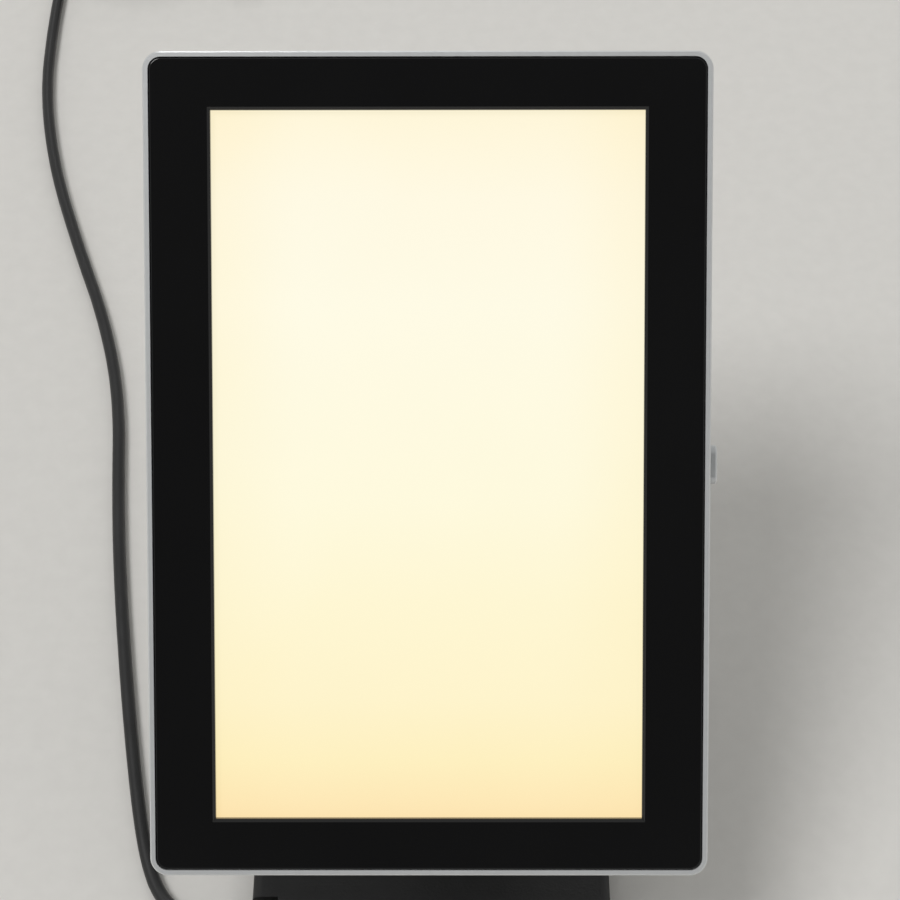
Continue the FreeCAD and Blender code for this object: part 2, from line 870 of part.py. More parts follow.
def make_power_button():
    """A long rounded button: cap, the lip that keeps it in, and the stem that works the switch."""
    body = new_body("power_button", pose(0, 0, 0, frame=PANEL))
    lip_front = inner_half_width - size.button_gap
    lip_back = lip_front - size.button_lip_depth
    cap = rectangle(0, size.button_level, size.button_length, size.button_width)
    pad(body, "YZ_Plane", lip_front, half_width + size.button_proud - lip_front, cap)

    def long_edge(edge):
        return edge.BoundBox.XLength > size.button_travel.value

    soften(body, "Fillet", size.button_width / 2 - size.button_flat / 2, long_edge)
    outer_x = half_width.value + size.button_proud.value
    soften(body, "Fillet", size.button_round, lambda edge: near(edge.BoundBox.XMin, outer_x))
    long, wide = size.button_length + 2 * size.button_lip, size.button_width + 2 * size.button_lip
    pad(body, "YZ_Plane", lip_back, size.button_lip_depth, rectangle(0, size.button_level, long, wide))
    pad(body, "YZ_Plane", stem_end(), lip_back - stem_end(), Disc(0, size.button_level, size.stem_radius))


def make_button_guide():
    """The bezel in the tray's wall that the button slides in."""
    body = new_body("button_guide", pose(0, 0, 0, frame=PANEL))
    open_length = size.button_length + 2 * size.button_gap
    open_width = size.button_width + 2 * size.button_gap
    opening = rectangle(0, size.button_level, open_length, open_width)
    border = 2 * size.guide_wall
    sleeve = rectangle(0, size.button_level, open_length + border, open_width + border)
    pad(body, "YZ_Plane", inner_half_width, size.rim, sleeve, opening)
    border = 2 * size.guide_border
    flange = rectangle(0, size.button_level, open_length + border, open_width + border)
    pad(body, "YZ_Plane", half_width, size.guide_flange, flange, opening)

    def corners_at(length, width):
        def chosen(edge):
            box, place = edge.BoundBox, edge.CenterOfMass
            along = box.YLength < 0.01 and box.ZLength < 0.01
            beside = near(abs(place.y), length.value / 2)
            return along and beside and near(abs(place.z - size.button_level.value), width.value / 2)

        return chosen

    rounding = size.button_width / 2 - size.button_flat / 2 + size.button_gap
    soften(body, "Fillet", rounding, corners_at(open_length, open_width))
    soften(body, "Fillet", size.guide_corner, corners_at(open_length + border, open_width + border))


def make_wires():
    """Thin wires from the driver board's sockets round the spreader's top to the LED strips."""
    level = (board_front + size.component_depth / 2).value
    above = (sheet_height / 2 + size.wire_rise).value
    strip_end = (strip_length / 2).value
    strip_level = (reflector_front + size.guide_depth / 2).value
    bend = size.wire_bend.value
    wires = []
    for side, (x, y) in zip((-1, 1), socket_places()[1:]):
        start = (y + size.socket_width / 2).value
        x_end = side * (strip_inner + size.strip_depth / 2).value
        route = [
            Vector(x.value, start, level),
            Vector(x.value, above, level),
            Vector(x_end, above, level),
            Vector(x_end, above, strip_level),
            Vector(x_end, strip_end, strip_level),
        ]
        wires.append(tube_shape(route, (bend, bend, bend / 2), size.wire_radius.value)[0])
    computed("led_wires", Part.makeCompound(wires), nodes["rear_housing"].Placement)


# ---------------------------------------------------------------- hinge


def make_hinge_bracket():
    """The bracket screwed to the tray's back, with an ear each side of the arm's knuckle."""
    body = new_body("hinge_bracket", pose(0, 0, 0, frame=PANEL))
    flange = rectangle(0, hinge_y, size.bracket_width, size.bracket_length)
    pad(body, "XY_Plane", -size.bracket_depth, size.bracket_depth, flange)
    soften(body, "Fillet", size.bracket_depth, upright)
    reach = size.hinge_back - size.bracket_depth / 2
    web = rectangle(hinge_y, -size.bracket_depth / 2 - reach / 2, 2 * size.knuckle_radius, reach)
    for start in (ear_inner, -ear_outer):
        pad(body, "YZ_Plane", start, size.ear_depth, web)
        pad(body, "YZ_Plane", start, size.ear_depth, Disc(hinge_y, -size.hinge_back, size.knuckle_radius))
    bore = Disc(hinge_y, -size.hinge_back, size.pin_radius + size.pin_gap)
    cut(body, "YZ_Plane", ear_outer, 2 * ear_outer, bore)
    holes = [Disc(x, y, size.screw_radius + size.hole_gap) for x, y in bracket_places()]
    cut(body, "XY_Plane", 0, size.bracket_depth, Disc(0, hinge_y, lead_hole), *holes)
    sunk = [Disc(x, y, size.screw_head + size.hole_gap) for x, y in bracket_places()]
    depth = size.screw_head_depth + size.head_sink
    cut(body, "XY_Plane", depth - size.bracket_depth, depth, *sunk)


def make_bracket_fixings():
    """The backing plate inside the tray and the four screws that bite into it."""
    plate = new_body("backing_plate", pose(0, 0, 0, frame=PANEL))
    outline = rectangle(0, hinge_y, size.bracket_width, size.bracket_length)
    pad(plate, "XY_Plane", size.back_wall, size.backing_depth, outline)
    holes = [Disc(x, y, size.screw_radius + size.thread_gap) for x, y in bracket_places()]
    front = size.back_wall + size.backing_depth
    cut(plate, "XY_Plane", front, size.backing_depth, Disc(0, hinge_y, lead_hole), *holes)
    start = size.head_sink - size.bracket_depth
    screws = [
        screw(
            f"bracket_screw_{i}", x, y, start, "+z", size.screw_head,
            size.screw_head_depth, size.screw_radius, size.bracket_screw_length,
        )
        for i, (x, y) in enumerate(bracket_places())
    ]
    group("bracket_screws", screws, PANEL)


def make_hinge_pins():
    """Two shoulder screws, the friction washers beside the knuckle, and the caps over the heads."""
    y, z = hinge_y, -size.hinge_back
    head_end = ear_outer + size.pin_head_depth
    length = ear_outer - size.knuckle_width / 2 + size.pin_reach
    washer_start = size.knuckle_width / 2 + size.washer_gap
    bore = size.pin_radius + size.pin_gap
    room_depth = size.pin_head_depth + size.head_sink
    pins, washers, caps = [], [], []
    for name, sx, inward, outward in (("left", -1, "+x", "-x"), ("right", 1, "-x", "+x")):
        start = (sx * head_end, y, z)
        head, shank = (size.pin_head, size.pin_head_depth), (size.pin_radius, length)
        pins.append(screw(f"pin_{name}", *start, inward, *head, *shank))
        x = sx * washer_start
        disc = rod(f"washer_{name}_disc", x, y, z, outward, size.washer_radius, size.washer_depth)
        hole = rod(f"washer_{name}_hole", x, y, z, outward, bore, size.washer_depth)
        washers.append(without(f"washer_{name}", disc, hole))
        x = sx * ear_outer
        cup = rod(f"cap_{name}_cup", x, y, z, outward, size.cap_radius, room_depth + size.cap_wall)
        room = rod(f"cap_{name}_room", x, y, z, outward, size.pin_head + size.hole_gap, room_depth)
        caps.append(without(f"cap_{name}", cup, room))
    group("hinge_pins", pins, PANEL)
    group("hinge_washers", washers, PANEL)
    group("hinge_caps", caps, PANEL)


def make_lead_in_head():
    """The lead's core from the hinge axis through the tray's floor to the driver board's socket."""
    start = (ball_radius + size.seat_gap * 2 - size.hinge_back).value
    level = (board_front + size.component_depth / 2).value
    socket = (socket_places()[0][1] - size.socket_width / 2).value
    y = hinge_y.value
    route = [Vector(0, y, start), Vector(0, y, level), Vector(0, socket, level)]
    shape = tube_shape(route, (size.core_bend.value,), size.core_radius.value)[0]
    computed("lead_in_head", shape, nodes["rear_housing"].Placement)


# ---------------------------------------------------------------- arm

rake_sine = sine(size.arm_rake)
rake_cosine = cosine(size.arm_rake)
foot_y = (size.hinge_height - size.base_top) * rake_sine / rake_cosine


def on_arm(down, behind):
    """A point in the arm's side view: down the arm from the hinge axis, and behind its middle."""
    y = down * rake_sine + behind * rake_cosine
    z = size.hinge_height - down * rake_cosine + behind * rake_sine
    return as_size(y), as_size(z)


def at_foot(behind, level):
    """The point of that line of the arm which is at a level."""
    down = (size.hinge_height - level + behind * rake_sine) / rake_cosine
    return on_arm(down, behind)


def down_the_arm(point):
    """How far down the arm from the hinge axis a point lies."""
    return point.y * rake_sine.value + (size.hinge_height.value - point.z) * rake_cosine.value


def arm_slice(start, front, behind):
    """The arm's side outline from a distance down it to the base's top."""
    return [
        on_arm(start, front), at_foot(front, size.base_top),
        at_foot(behind, size.base_top), on_arm(start, behind),
    ]


def make_arm():
    """The raked arm with the knuckle at its top, the foot at its bottom and the lead's channel."""
    body = new_body("arm")
    half = size.arm_depth / 2
    pad(body, "YZ_Plane", -size.arm_width / 2, size.arm_width, arm_slice(size.neck_length, -half, half))

    def long_edge(edge):
        straight = edge.Curve.TypeId == "Part::GeomLine"
        return straight and edge.BoundBox.XLength < 0.01 and edge.BoundBox.ZLength > size.arm_width.value

    soften(body, "Fillet", size.arm_round, long_edge)

    def shoulder(edge):
        return all(near(down_the_arm(vertex.Point), size.neck_length.value) for vertex in edge.Vertexes)

    soften(body, "Fillet", size.shoulder_round, shoulder)
    narrow = size.knuckle_width
    pad(body, "YZ_Plane", -narrow / 2, narrow, arm_slice(as_size(0), -half, half))
    pad(body, "YZ_Plane", -narrow / 2, narrow, Disc(0, size.hinge_height, size.knuckle_radius))
    foot = rectangle(0, foot_y, size.foot_width, size.foot_length)
    pad(body, "XY_Plane", size.base_top, size.foot_depth, foot)
    x, y = size.foot_width.value / 2, size.foot_length.value / 2

    def foot_corner(edge):
        place = edge.CenterOfMass
        return upright(edge) and near(abs(place.x), x) and near(abs(place.y - foot_y.value), y)

    soften(body, "Fillet", size.foot_corner, foot_corner)

    def foot_rim(edge):
        box = edge.BoundBox
        wide = max(-box.XMin, box.XMax) > x - size.foot_corner.value
        deep = max(foot_y.value - box.YMin, box.YMax - foot_y.value) > y - 0.1
        return at_level(edge, size.base_top + size.foot_depth) and (wide or deep)

    soften(body, "Fillet", size.foot_round, foot_rim)
    cut_arm(body)


def cut_arm(body):
    """The knuckle's bores and slot, the lead's channel, its cover's seat and the screw holes."""
    wide = size.knuckle_width
    bore = Disc(0, size.hinge_height, size.pin_radius + size.pin_gap)
    cut(body, "YZ_Plane", wide / 2, wide, bore)
    open_half = size.core_radius + size.core_gap
    room = Disc(0, size.hinge_height, size.hinge_room)
    cut(body, "YZ_Plane", size.hinge_room_half, 2 * size.hinge_room_half, room)
    reach = size.knuckle_radius + size.cut_past
    middle = (reach - open_half) / 2
    side = reach + open_half
    window = rectangle(-middle, size.hinge_height + middle, side, side)
    cut(body, "YZ_Plane", open_half, 2 * open_half, window)
    tunnel = [
        on_arm(as_size(0), -open_half), at_foot(-open_half, size.base_top - size.cut_past),
        at_foot(open_half, size.base_top - size.cut_past), on_arm(as_size(0), open_half),
    ]
    cut(body, "YZ_Plane", open_half, 2 * open_half, tunnel)
    seat = size.arm_depth / 2 - size.slot_cover_depth
    past_back = size.arm_depth / 2 + size.cut_past
    none = as_size(0)
    cut(body, "YZ_Plane", open_half, 2 * open_half, cover_outline(none, seat + size.seat_gap, none))
    half_wide = size.slot_cover_width / 2
    cut(body, "YZ_Plane", half_wide, size.slot_cover_width, cover_outline(seat, past_back, none))
    pilots = [Disc(x, y, size.arm_screw + size.thread_gap) for x, y in arm_screw_places()]
    deep = size.foot_depth - size.foot_skin
    cut(body, "XY_Plane", size.base_top + deep, deep, *pilots)


def cover_outline(front, behind, gap):
    """The arm cover's side outline between two lines of the arm, shortened by a gap at each end."""
    start, end = size.slot_cover_start + gap, size.slot_cover_end - gap
    return [on_arm(start, front), on_arm(end, front), on_arm(end, behind), on_arm(start, behind)]


def make_arm_cover():
    """The strip that closes the channel at the arm's back."""
    body = new_body("arm_cover")
    half = size.arm_depth / 2
    wide = size.slot_cover_width - 2 * size.frame_gap
    corners = cover_outline(half - size.slot_cover_depth, half, size.frame_gap)
    pad(body, "YZ_Plane", -wide / 2, wide, corners)


def arm_screw_places():
    return [
        (sx * size.arm_screw_across, foot_y + sy * size.arm_screw_along)
        for sx in (-1, 1)
        for sy in (-1, 1)
    ]


# ---------------------------------------------------------------- base

base_back = foot_y + size.foot_length / 2 + size.base_margin
lead_y = size.lead_from_front - size.base_front
bottom_top = size.mat_depth + size.bottom_depth
roof_under = size.base_top - size.base_roof
notch_x = size.notch_depth - size.base_width / 2
weight_front = lead_y + size.clamp_length / 2 + size.weight_from_clamp
weight_back = base_back - size.base_wall - size.weight_gap


def base_outline(inset):
    """The base seen from above, with the lead's notch in its left side, drawn in by the inset."""
    half = size.base_width / 2 - inset
    front, back = inset - size.base_front, base_back - inset
    notch_half = size.notch_width / 2 + inset
    return [
        (half, front), (half, back), (-half, back), (-half, lead_y + notch_half),
        (notch_x + inset, lead_y + notch_half), (notch_x + inset, lead_y - notch_half),
        (-half, lead_y - notch_half), (-half, front),
    ]


def round_base_corners(body, inset):
    half = size.base_width.value / 2 - inset.value
    ends = (inset.value - size.base_front.value, base_back.value - inset.value)

    def outer_corner(edge):
        place = edge.CenterOfMass
        at_end = any(near(place.y, end) for end in ends)
        return upright(edge) and at_end and near(abs(place.x), half)

    soften(body, "Fillet", size.base_corner - inset, outer_corner)


def base_screw_places():
    x = size.base_width / 2 - size.base_boss_inset
    ends = (size.base_boss_from_front - size.base_front, base_back - size.base_boss_from_back)
    return [(sx * x, y) for sx in (-1, 1) for y in ends]


def make_base_cover():
    """The black top shell of the base."""
    body = new_body("base_cover")
    none = as_size(0)
    low = size.mat_depth
    pad(body, "XY_Plane", low, size.base_top - low, base_outline(none))
    cut(body, "XY_Plane", roof_under, roof_under - low, base_outline(size.base_wall))
    round_base_corners(body, size.base_wall)
    round_base_corners(body, none)

    def top_rim(edge):
        return at_level(edge, size.base_top) and not in_notch(edge)

    soften(body, "Fillet", size.base_round, top_rim)
    bosses = [Disc(x, y, size.base_boss) for x, y in base_screw_places()]
    pad(body, "XY_Plane", bottom_top, roof_under - bottom_top, *bosses)
    pilots = [Disc(x, y, size.screw_radius + size.thread_gap) for x, y in base_screw_places()]
    deep = size.base_screw_length - size.base_screw_floor + size.tip_gap
    cut(body, "XY_Plane", bottom_top + deep, deep, *pilots)
    holes = [Disc(x, y, size.arm_screw + size.hole_gap) for x, y in arm_screw_places()]
    slot_width = 2 * (size.core_radius + size.core_gap)
    lead_slot = rectangle(0, foot_y - size.lead_slot_shift, slot_width, size.lead_slot)
    cut(body, "XY_Plane", size.base_top, size.base_roof, lead_slot, *holes)
    relief_hole = Disc(lead_y, size.lead_height, size.relief_root + size.seat_gap)
    cut(body, "YZ_Plane", notch_x + size.base_wall, size.base_wall, relief_hole)


def in_notch(edge):
    place = edge.CenterOfMass
    beyond = place.x > -size.base_width.value / 2 + 0.05
    return beyond and abs(place.y - lead_y.value) < size.notch_width.value / 2 + 0.05 and place.x < 0


def make_base_bottom():
    """The plate that closes the base from below, with sunk screw holes and the clamp's seats."""
    body = new_body("base_bottom")
    inset = size.base_wall + size.frame_gap
    pad(body, "XY_Plane", size.mat_depth, size.bottom_depth, base_outline(inset))
    round_base_corners(body, inset)
    seats = [rectangle(x, y, size.clamp_width, 2 * size.screw_head) for x, y in clamp_screw_places()]
    pad(body, "XY_Plane", bottom_top, size.lead_height - bottom_top, *seats)
    holes = [Disc(x, y, size.screw_radius + size.hole_gap) for x, y in base_screw_places()]
    cut(body, "XY_Plane", bottom_top, size.bottom_depth, *holes)
    sunk = [Disc(x, y, size.screw_head + size.hole_gap) for x, y in base_screw_places()]
    depth = size.bottom_depth - size.base_screw_floor
    cut(body, "XY_Plane", size.mat_depth + depth, depth, *sunk)
    pilots = [Disc(x, y, size.board_screw + size.thread_gap) for x, y in clamp_screw_places()]
    cut(body, "XY_Plane", size.lead_height, size.lead_height - bottom_top, *pilots)


def make_base_screws():
    head_depth = size.bottom_depth - size.base_screw_floor - size.head_sink
    screws = [
        screw(
            f"base_screw_{i}", x, y, bottom_top - size.base_screw_floor - head_depth, "+z",
            size.screw_head, head_depth, size.screw_radius, size.base_screw_length,
        )
        for i, (x, y) in enumerate(base_screw_places())
    ]
    group("base_screws", screws)


def make_rubber_mat():
    """The mat that the lamp stands on, between the rows of the bottom's screws."""
    body = new_body("rubber_mat")
    width = -2 * (notch_x + size.base_wall + size.frame_gap + size.mat_gap)
    front, back = size.mat_inset - size.base_front, base_back - size.mat_inset
    outline = rectangle(0, (front + back) / 2, width, back - front)
    pad(body, "XY_Plane", 0, size.mat_depth, outline)
    soften(body, "Fillet", size.mat_corner, upright)


def make_base_weight():
    """The steel plate under the roof. A slot from its front edge lets the lead's core through."""
    body = new_body("base_weight")
    half = size.base_width / 2 - size.weight_inset
    front, back = weight_front, weight_back
    slot_half = size.weight_slot / 2
    slot_end = foot_y + size.weight_slot_past
    outline = [
        (slot_half, front), (half, front), (half, back), (-half, back), (-half, front),
        (-slot_half, front), (-slot_half, slot_end), (slot_half, slot_end),
    ]
    pad(body, "XY_Plane", bottom_top, roof_under - bottom_top, outline)
    holes = [Disc(x, y, size.arm_screw + size.hole_gap) for x, y in arm_screw_places()]
    cut(body, "XY_Plane", roof_under, roof_under - bottom_top, *holes)
    sunk = [Disc(x, y, size.arm_screw_head + size.hole_gap) for x, y in arm_screw_places()]
    depth = size.arm_screw_depth + size.head_sink
    cut(body, "XY_Plane", bottom_top + depth, depth, *sunk)


def make_arm_screws():
    """Four screws from inside the base, through the weight and the roof, into the arm's foot."""
    screws = [
        screw(
            f"arm_screw_{i}", x, y, bottom_top + size.head_sink, "+z",
            size.arm_screw_head, size.arm_screw_depth, size.arm_screw, size.arm_screw_length,
        )
        for i, (x, y) in enumerate(arm_screw_places())
    ]
    group("arm_screws", screws)


# ---------------------------------------------------------------- lead


def make_strain_relief():
    """The soft sleeve in the notch, which tapers towards the lead that leaves through it."""
    body = new_body("strain_relief")
    wall_in = notch_x + size.base_wall
    tip = notch_x - size.relief_length
    bore = size.lead_radius + size.relief_bore_gap
    z = size.lead_height
    profile = [
        (tip, z + bore), (tip, z + size.relief_tip), (notch_x, z + size.relief_root),
        (wall_in, z + size.relief_root), (wall_in, z + size.relief_flange),
        (wall_in + size.relief_flange_depth, z + size.relief_flange),
        (wall_in + size.relief_flange_depth, z + bore),
    ]
    sketch = draw(body, "XZ_Plane", -lead_y, [profile])
    axis = Part.LineSegment(Vector(tip.value, z.value, 0), Vector(0, z.value, 0))
    index = sketch.addGeometry(axis, True)
    hold(sketch, "DistanceX", index, 1, as_size(tip))
    hold(sketch, "DistanceY", index, 1, as_size(z))
    hold(sketch, "DistanceX", index, 2, as_size(1))
    hold(sketch, "DistanceY", index, 2, as_size(z))
    turned = body.newObject("PartDesign::Revolution", "strain_relief_revolution")
    turned.Profile = sketch
    turned.ReferenceAxis = (sketch, ["Axis0"])
    turned.Angle = 360
    doc.recompute()


clamp_x = notch_x + size.base_wall + size.clamp_inset + size.clamp_width / 2


def clamp_screw_places():
    return [(clamp_x, lead_y + sy * (size.clamp_length / 2 - size.screw_head)) for sy in (-1, 1)]


def make_cord_clamp():
    """The saddle that holds the lead down inside the base, with its two screws."""
    body = new_body("cord_clamp")
    top = size.lead_height + size.clamp_depth
    outline = rectangle(clamp_x, lead_y, size.clamp_width, size.clamp_length)
    pad(body, "XY_Plane", size.lead_height, size.clamp_depth, outline)
    groove = Disc(lead_y, size.lead_height, size.lead_radius + size.relief_bore_gap)
    cut(body, "YZ_Plane", clamp_x + size.clamp_width / 2, size.clamp_width, groove)
    places = clamp_screw_places()
    holes = [Disc(x, y, size.board_screw + size.hole_gap) for x, y in places]
    cut(body, "XY_Plane", top, size.clamp_depth, *holes)
    sunk = [Disc(x, y, size.board_screw_head + size.hole_gap) for x, y in places]
    depth = size.board_screw_depth + size.seat_gap
    cut(body, "XY_Plane", top, depth, *sunk)
    screws = [
        screw(
            f"clamp_screw_{i}", x, y, top - size.seat_gap, "-z",
            size.board_screw_head, size.board_screw_depth, size.board_screw, size.clamp_screw_length,
        )
        for i, (x, y) in enumerate(places)
    ]
    group("clamp_screws", screws)


def lead_points(route):
    return [Vector(*point) for point in route]


def make_inner_leads():
    """The lead from the strain relief's tip into the base, and its core up the arm."""
    y, z = lead_y.value, size.lead_height.value
    tip = (notch_x - size.relief_length).value
    end = (clamp_x + size.clamp_width).value
    line = Part.makeCylinder(size.lead_radius.value, end - tip, Vector(tip, y, z), Vector(1, 0, 0))
    computed("lead_in_base", line)
    corner = at_foot(as_size(0), size.lead_height)[0].value
    hinge = Vector(0, 0, size.hinge_height.value)
    route = [Vector(end, y, z), Vector(0, y, z), Vector(0, corner, z), hinge]
    bends = (size.core_bend.value, size.core_corner.value)
    core = tube_shape(route, bends, size.core_radius.value)[0]
    ball = Part.makeSphere(ball_radius.value, hinge)
    computed("lead_in_arm", core.fuse(ball))


def make_lead():
    """The free lead, its tied coil, and the connector at its far end."""
    radius = size.lead_radius.value
    exit_point = Vector((notch_x - size.relief_length).value, lead_y.value, size.lead_height.value)
    route = [exit_point] + lead_points(LEAD_ROUTE)
    bends = widest_bends(route)
    shape, length = tube_shape(route, bends, radius)
    print("lead bends, mm:", [round(bend, 1) for bend in bends], "length", round(length, 1))
    computed("lead", shape)
    coil = new_body("lead_coil", pose(COIL_CENTRE[0], COIL_CENTRE[1], 0))
    outer = size.coil_middle + size.coil_width / 2
    inner = size.coil_middle - size.coil_width / 2
    pad(coil, "XY_Plane", 0, size.coil_height, Disc(0, 0, outer), Disc(0, 0, inner))
    soften(coil, "Fillet", size.coil_round, lambda edge: edge.Closed and edge.BoundBox.ZLength < 0.01)
    tie = new_body("lead_tie", pose(COIL_CENTRE[0], COIL_CENTRE[1], 0))
    thick = size.tie_depth
    z = size.coil_height / 2
    loop = rectangle(size.coil_middle, z + thick / 2, size.coil_width + 2 * thick, size.coil_height + thick)
    gap = size.seat_gap
    hole = rectangle(size.coil_middle, z, size.coil_width + gap, size.coil_height + gap)
    pad(tie, "XZ_Plane", -size.tie_width / 2, size.tie_width, loop)
    cut(tie, "XZ_Plane", size.tie_width / 2, size.tie_width, hole)
    tail = lead_points(TAIL_ROUTE)
    bends = widest_bends(tail)
    shape, length = tube_shape(tail, bends, radius)
    print("tail bends, mm:", [round(bend, 1) for bend in bends], "length", round(length, 1))
    computed("lead_tail", shape)
    make_plug(tail[-1], tail[-1] - tail[-2])


def make_plug(place, heading):
    """The flat plug at the far end: a moulded grip, a metal shell and the tongue inside it."""
    angle = math.degrees(math.atan2(heading.y, heading.x))
    frame = pose(place.x, place.y, 0, (0, 0, 1), angle)
    grip = new_body("plug_grip", frame)
    z = size.grip_depth / 2
    pad(grip, "YZ_Plane", 0, size.grip_length, rectangle(0, z, size.grip_width, size.grip_depth))
    soften(grip, "Fillet", size.grip_round, lambda edge: edge.BoundBox.XLength > size.grip_round.value)
    shell = new_body("plug_shell", frame)
    outer = rectangle(0, z, size.shell_width, size.shell_depth)
    inner = rectangle(0, z, size.shell_width - 2 * size.shell_wall, size.shell_depth - 2 * size.shell_wall)
    pad(shell, "YZ_Plane", size.grip_length, size.shell_length, outer, inner)
    tongue = new_body("plug_tongue", frame)
    low = z - size.shell_depth / 2 + size.shell_wall
    wide = size.shell_width - 2 * size.shell_wall
    bar = rectangle(0, low + size.tongue_depth / 2, wide, size.tongue_depth)
    pad(tongue, "YZ_Plane", size.grip_length, size.shell_length - size.tongue_sink, bar)


# ---------------------------------------------------------------- the whole lamp


def make_lamp():
    make_rear_housing()
    make_front_frame()
    make_housing_screws()
    make_sheets()
    make_heat_spreader()
    make_led_strips()
    make_driver_board()
    make_board_parts()
    make_switch()
    make_power_button()
    make_button_guide()
    make_wires()
    make_hinge_bracket()
    make_bracket_fixings()
    make_hinge_pins()
    make_lead_in_head()
    make_arm()
    make_arm_cover()
    make_base_cover()
    make_base_bottom()
    make_base_screws()
    make_rubber_mat()
    make_base_weight()
    make_arm_screws()
    make_strain_relief()
    make_cord_clamp()
    make_inner_leads()
    make_lead()


def check_and_write():
    doc.recompute()
    for thing in doc.Objects:
        if "Invalid" in thing.State or "Error" in thing.State:
            raise ValueError(f"{thing.Name} failed: {thing.State}")
    os.makedirs("parts", exist_ok=True)
    for name, thing in nodes.items():
        shape = thing.Shape
        if shape.isNull() or not shape.isValid() or not shape.Solids:
            raise ValueError(f"{name} has no valid solid")
        shape.exportStep(f"parts/{name}.step")
        print(f"{name}: {len(shape.Solids)} solid(s), {shape.Volume:.1f} mm3")


make_lamp()
check_and_write()
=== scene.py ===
import math

import bmesh
import bpy
from mathutils import Matrix, Vector


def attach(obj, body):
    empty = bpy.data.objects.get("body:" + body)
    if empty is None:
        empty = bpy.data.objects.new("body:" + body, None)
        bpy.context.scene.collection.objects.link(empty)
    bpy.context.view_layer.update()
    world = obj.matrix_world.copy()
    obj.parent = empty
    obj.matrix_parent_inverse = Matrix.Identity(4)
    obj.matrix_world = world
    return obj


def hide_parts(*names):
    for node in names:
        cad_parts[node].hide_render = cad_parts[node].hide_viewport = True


# The finish of a light therapy lamp: a lit panel in a glossy black frame and a satin silver tray,
# on a short black stand, with its low-voltage lead laid round behind it and tied in a coil.
#
# Blender works in metres; the sizes here are in millimetres and are turned to metres where a
# shape is made. +Z is up, +X the lamp's right as seen from its lit side, which faces -Y.

MM = 0.001

# the camera: its place, its turns in degrees, its lens, and how near and far it sees
CAMERA_PLACE = (8.2, -343.7, 628.6)
CAMERA_PITCH = 53.97
CAMERA_YAW = -0.35
CAMERA_ROLL = -0.31
CAMERA_LENS = 86.16
SENSOR_WIDTH = 36.0
CLIP_NEAR = 10.0
CLIP_FAR = 60000.0

# the stage: lamps as (name, direction to the lamp, strength, spread in degrees), and a room with
# a dark card in front of the panel, whose edges are cosines of the angle from its middle
TABLE_HALF = 15000.0
LAMPS = [
    ("key", (-0.40, -0.12, 0.90), 1.35, 24.0),
    ("rim_lamp", (-0.15, 0.86, 0.49), 0.18, 9.0),
]
ROOM_COLOUR = "#f7f7f5"
ROOM_STRENGTH = 0.56
CARD_STRENGTH = 0.14
CARD_TOWARDS = (0.0, -0.7, 0.71)
CARD_OUTER_EDGE = 0.84
CARD_INNER_EDGE = 0.985

# the lead
LEAD_DIAMETER = 4.5
LEAD_EXIT = (-59.0, -72.0, 7.5)
LEAD_ROUTE = [
    LEAD_EXIT,
    (-66.5, -72.0, 7.5),
    (-76.0, -69.2, 5.2),
    (-83.6, -62.6, 2.9),
    (-88.6, -53.0, 2.25),
    (-93.2, -36.0, 2.25),
    (-99.8, 0.0, 2.25),
    (-107.4, 50.0, 2.25),
    (-112.0, 90.0, 2.25),
    (-115.6, 135.0, 2.25),
    (-124.6, 172.0, 2.25),
    (-138.0, 208.0, 2.25),
    (-152.0, 250.0, 2.25),
    (-160.3, 292.0, 2.25),
    (-161.6, 330.0, 2.25),
    (-160.9, 362.0, 2.25),
]
TAIL_ROUTE = [
    (-117.5, 423.4, 6.5),
    (-101.5, 417.0, 4.2),
    (-91.2, 405.0, 3.5),
    (-88.5, 391.0, 3.5),
]
COIL_CENTRE = (-129.25, 392.0)
COIL_INNER = 22.55
COIL_PITCH = 4.5
COIL_LOW = 2.25
COIL_HIGH = 6.75
COIL_STEP = 22.5

# the sleeve where the lead leaves the base, as (radius, distance from its root): its collar and
# plain stretch, and its tip; a groove between them is (change of radius, distance along)
SLEEVE_ROOT = (-43.3, -72.0, 7.5)
SLEEVE_COLLAR = [(2.35, 0.0), (3.9, 0.0), (3.9, 1.5), (3.45, 1.5), (3.45, 4.0)]
SLEEVE_TIP = [(2.78, 15.3), (2.62, 15.6), (2.35, 15.7)]
GROOVE = [(0.0, 0.5), (-0.55, 0.62), (-0.57, 1.2), (-0.06, 1.32)]
GROOVE_COUNT = 5
GROOVE_FIRST = 4.2
GROOVE_PITCH = 1.541
GROOVE_RADIUS = 3.42
GROOVE_TAPER = 0.12

# the plug's grip: sections as (distance along, half width, half height, squareness), or sizes as
# the last three of these; a finger groove is a few sizes, each with its distance along
GRIP_LENGTH = 24.0
GRIP_NECK = [
    (0.0, 2.7, 2.5, 2.2), (1.2, 3.2, 2.8, 2.2), (4.0, 3.9, 3.0, 2.5), (6.5, 5.0, 3.3, 3.5),
    (8.0, 5.4, 3.45, 4.5), (9.0, 5.5, 3.5, 5.0),
]
GRIP_FULL = (5.5, 3.5, 5.0)
GRIP_VALLEY = (5.15, 3.15, 5.0)
GRIP_END = (5.1, 3.1, 5.0)
GRIP_ROUNDING = 0.5
VALLEY = [(0.0, GRIP_FULL), (0.3, GRIP_VALLEY), (1.0, GRIP_VALLEY), (1.3, GRIP_FULL)]
VALLEY_COUNT = 4
VALLEY_FIRST = 10.0
VALLEY_PITCH = 2.2

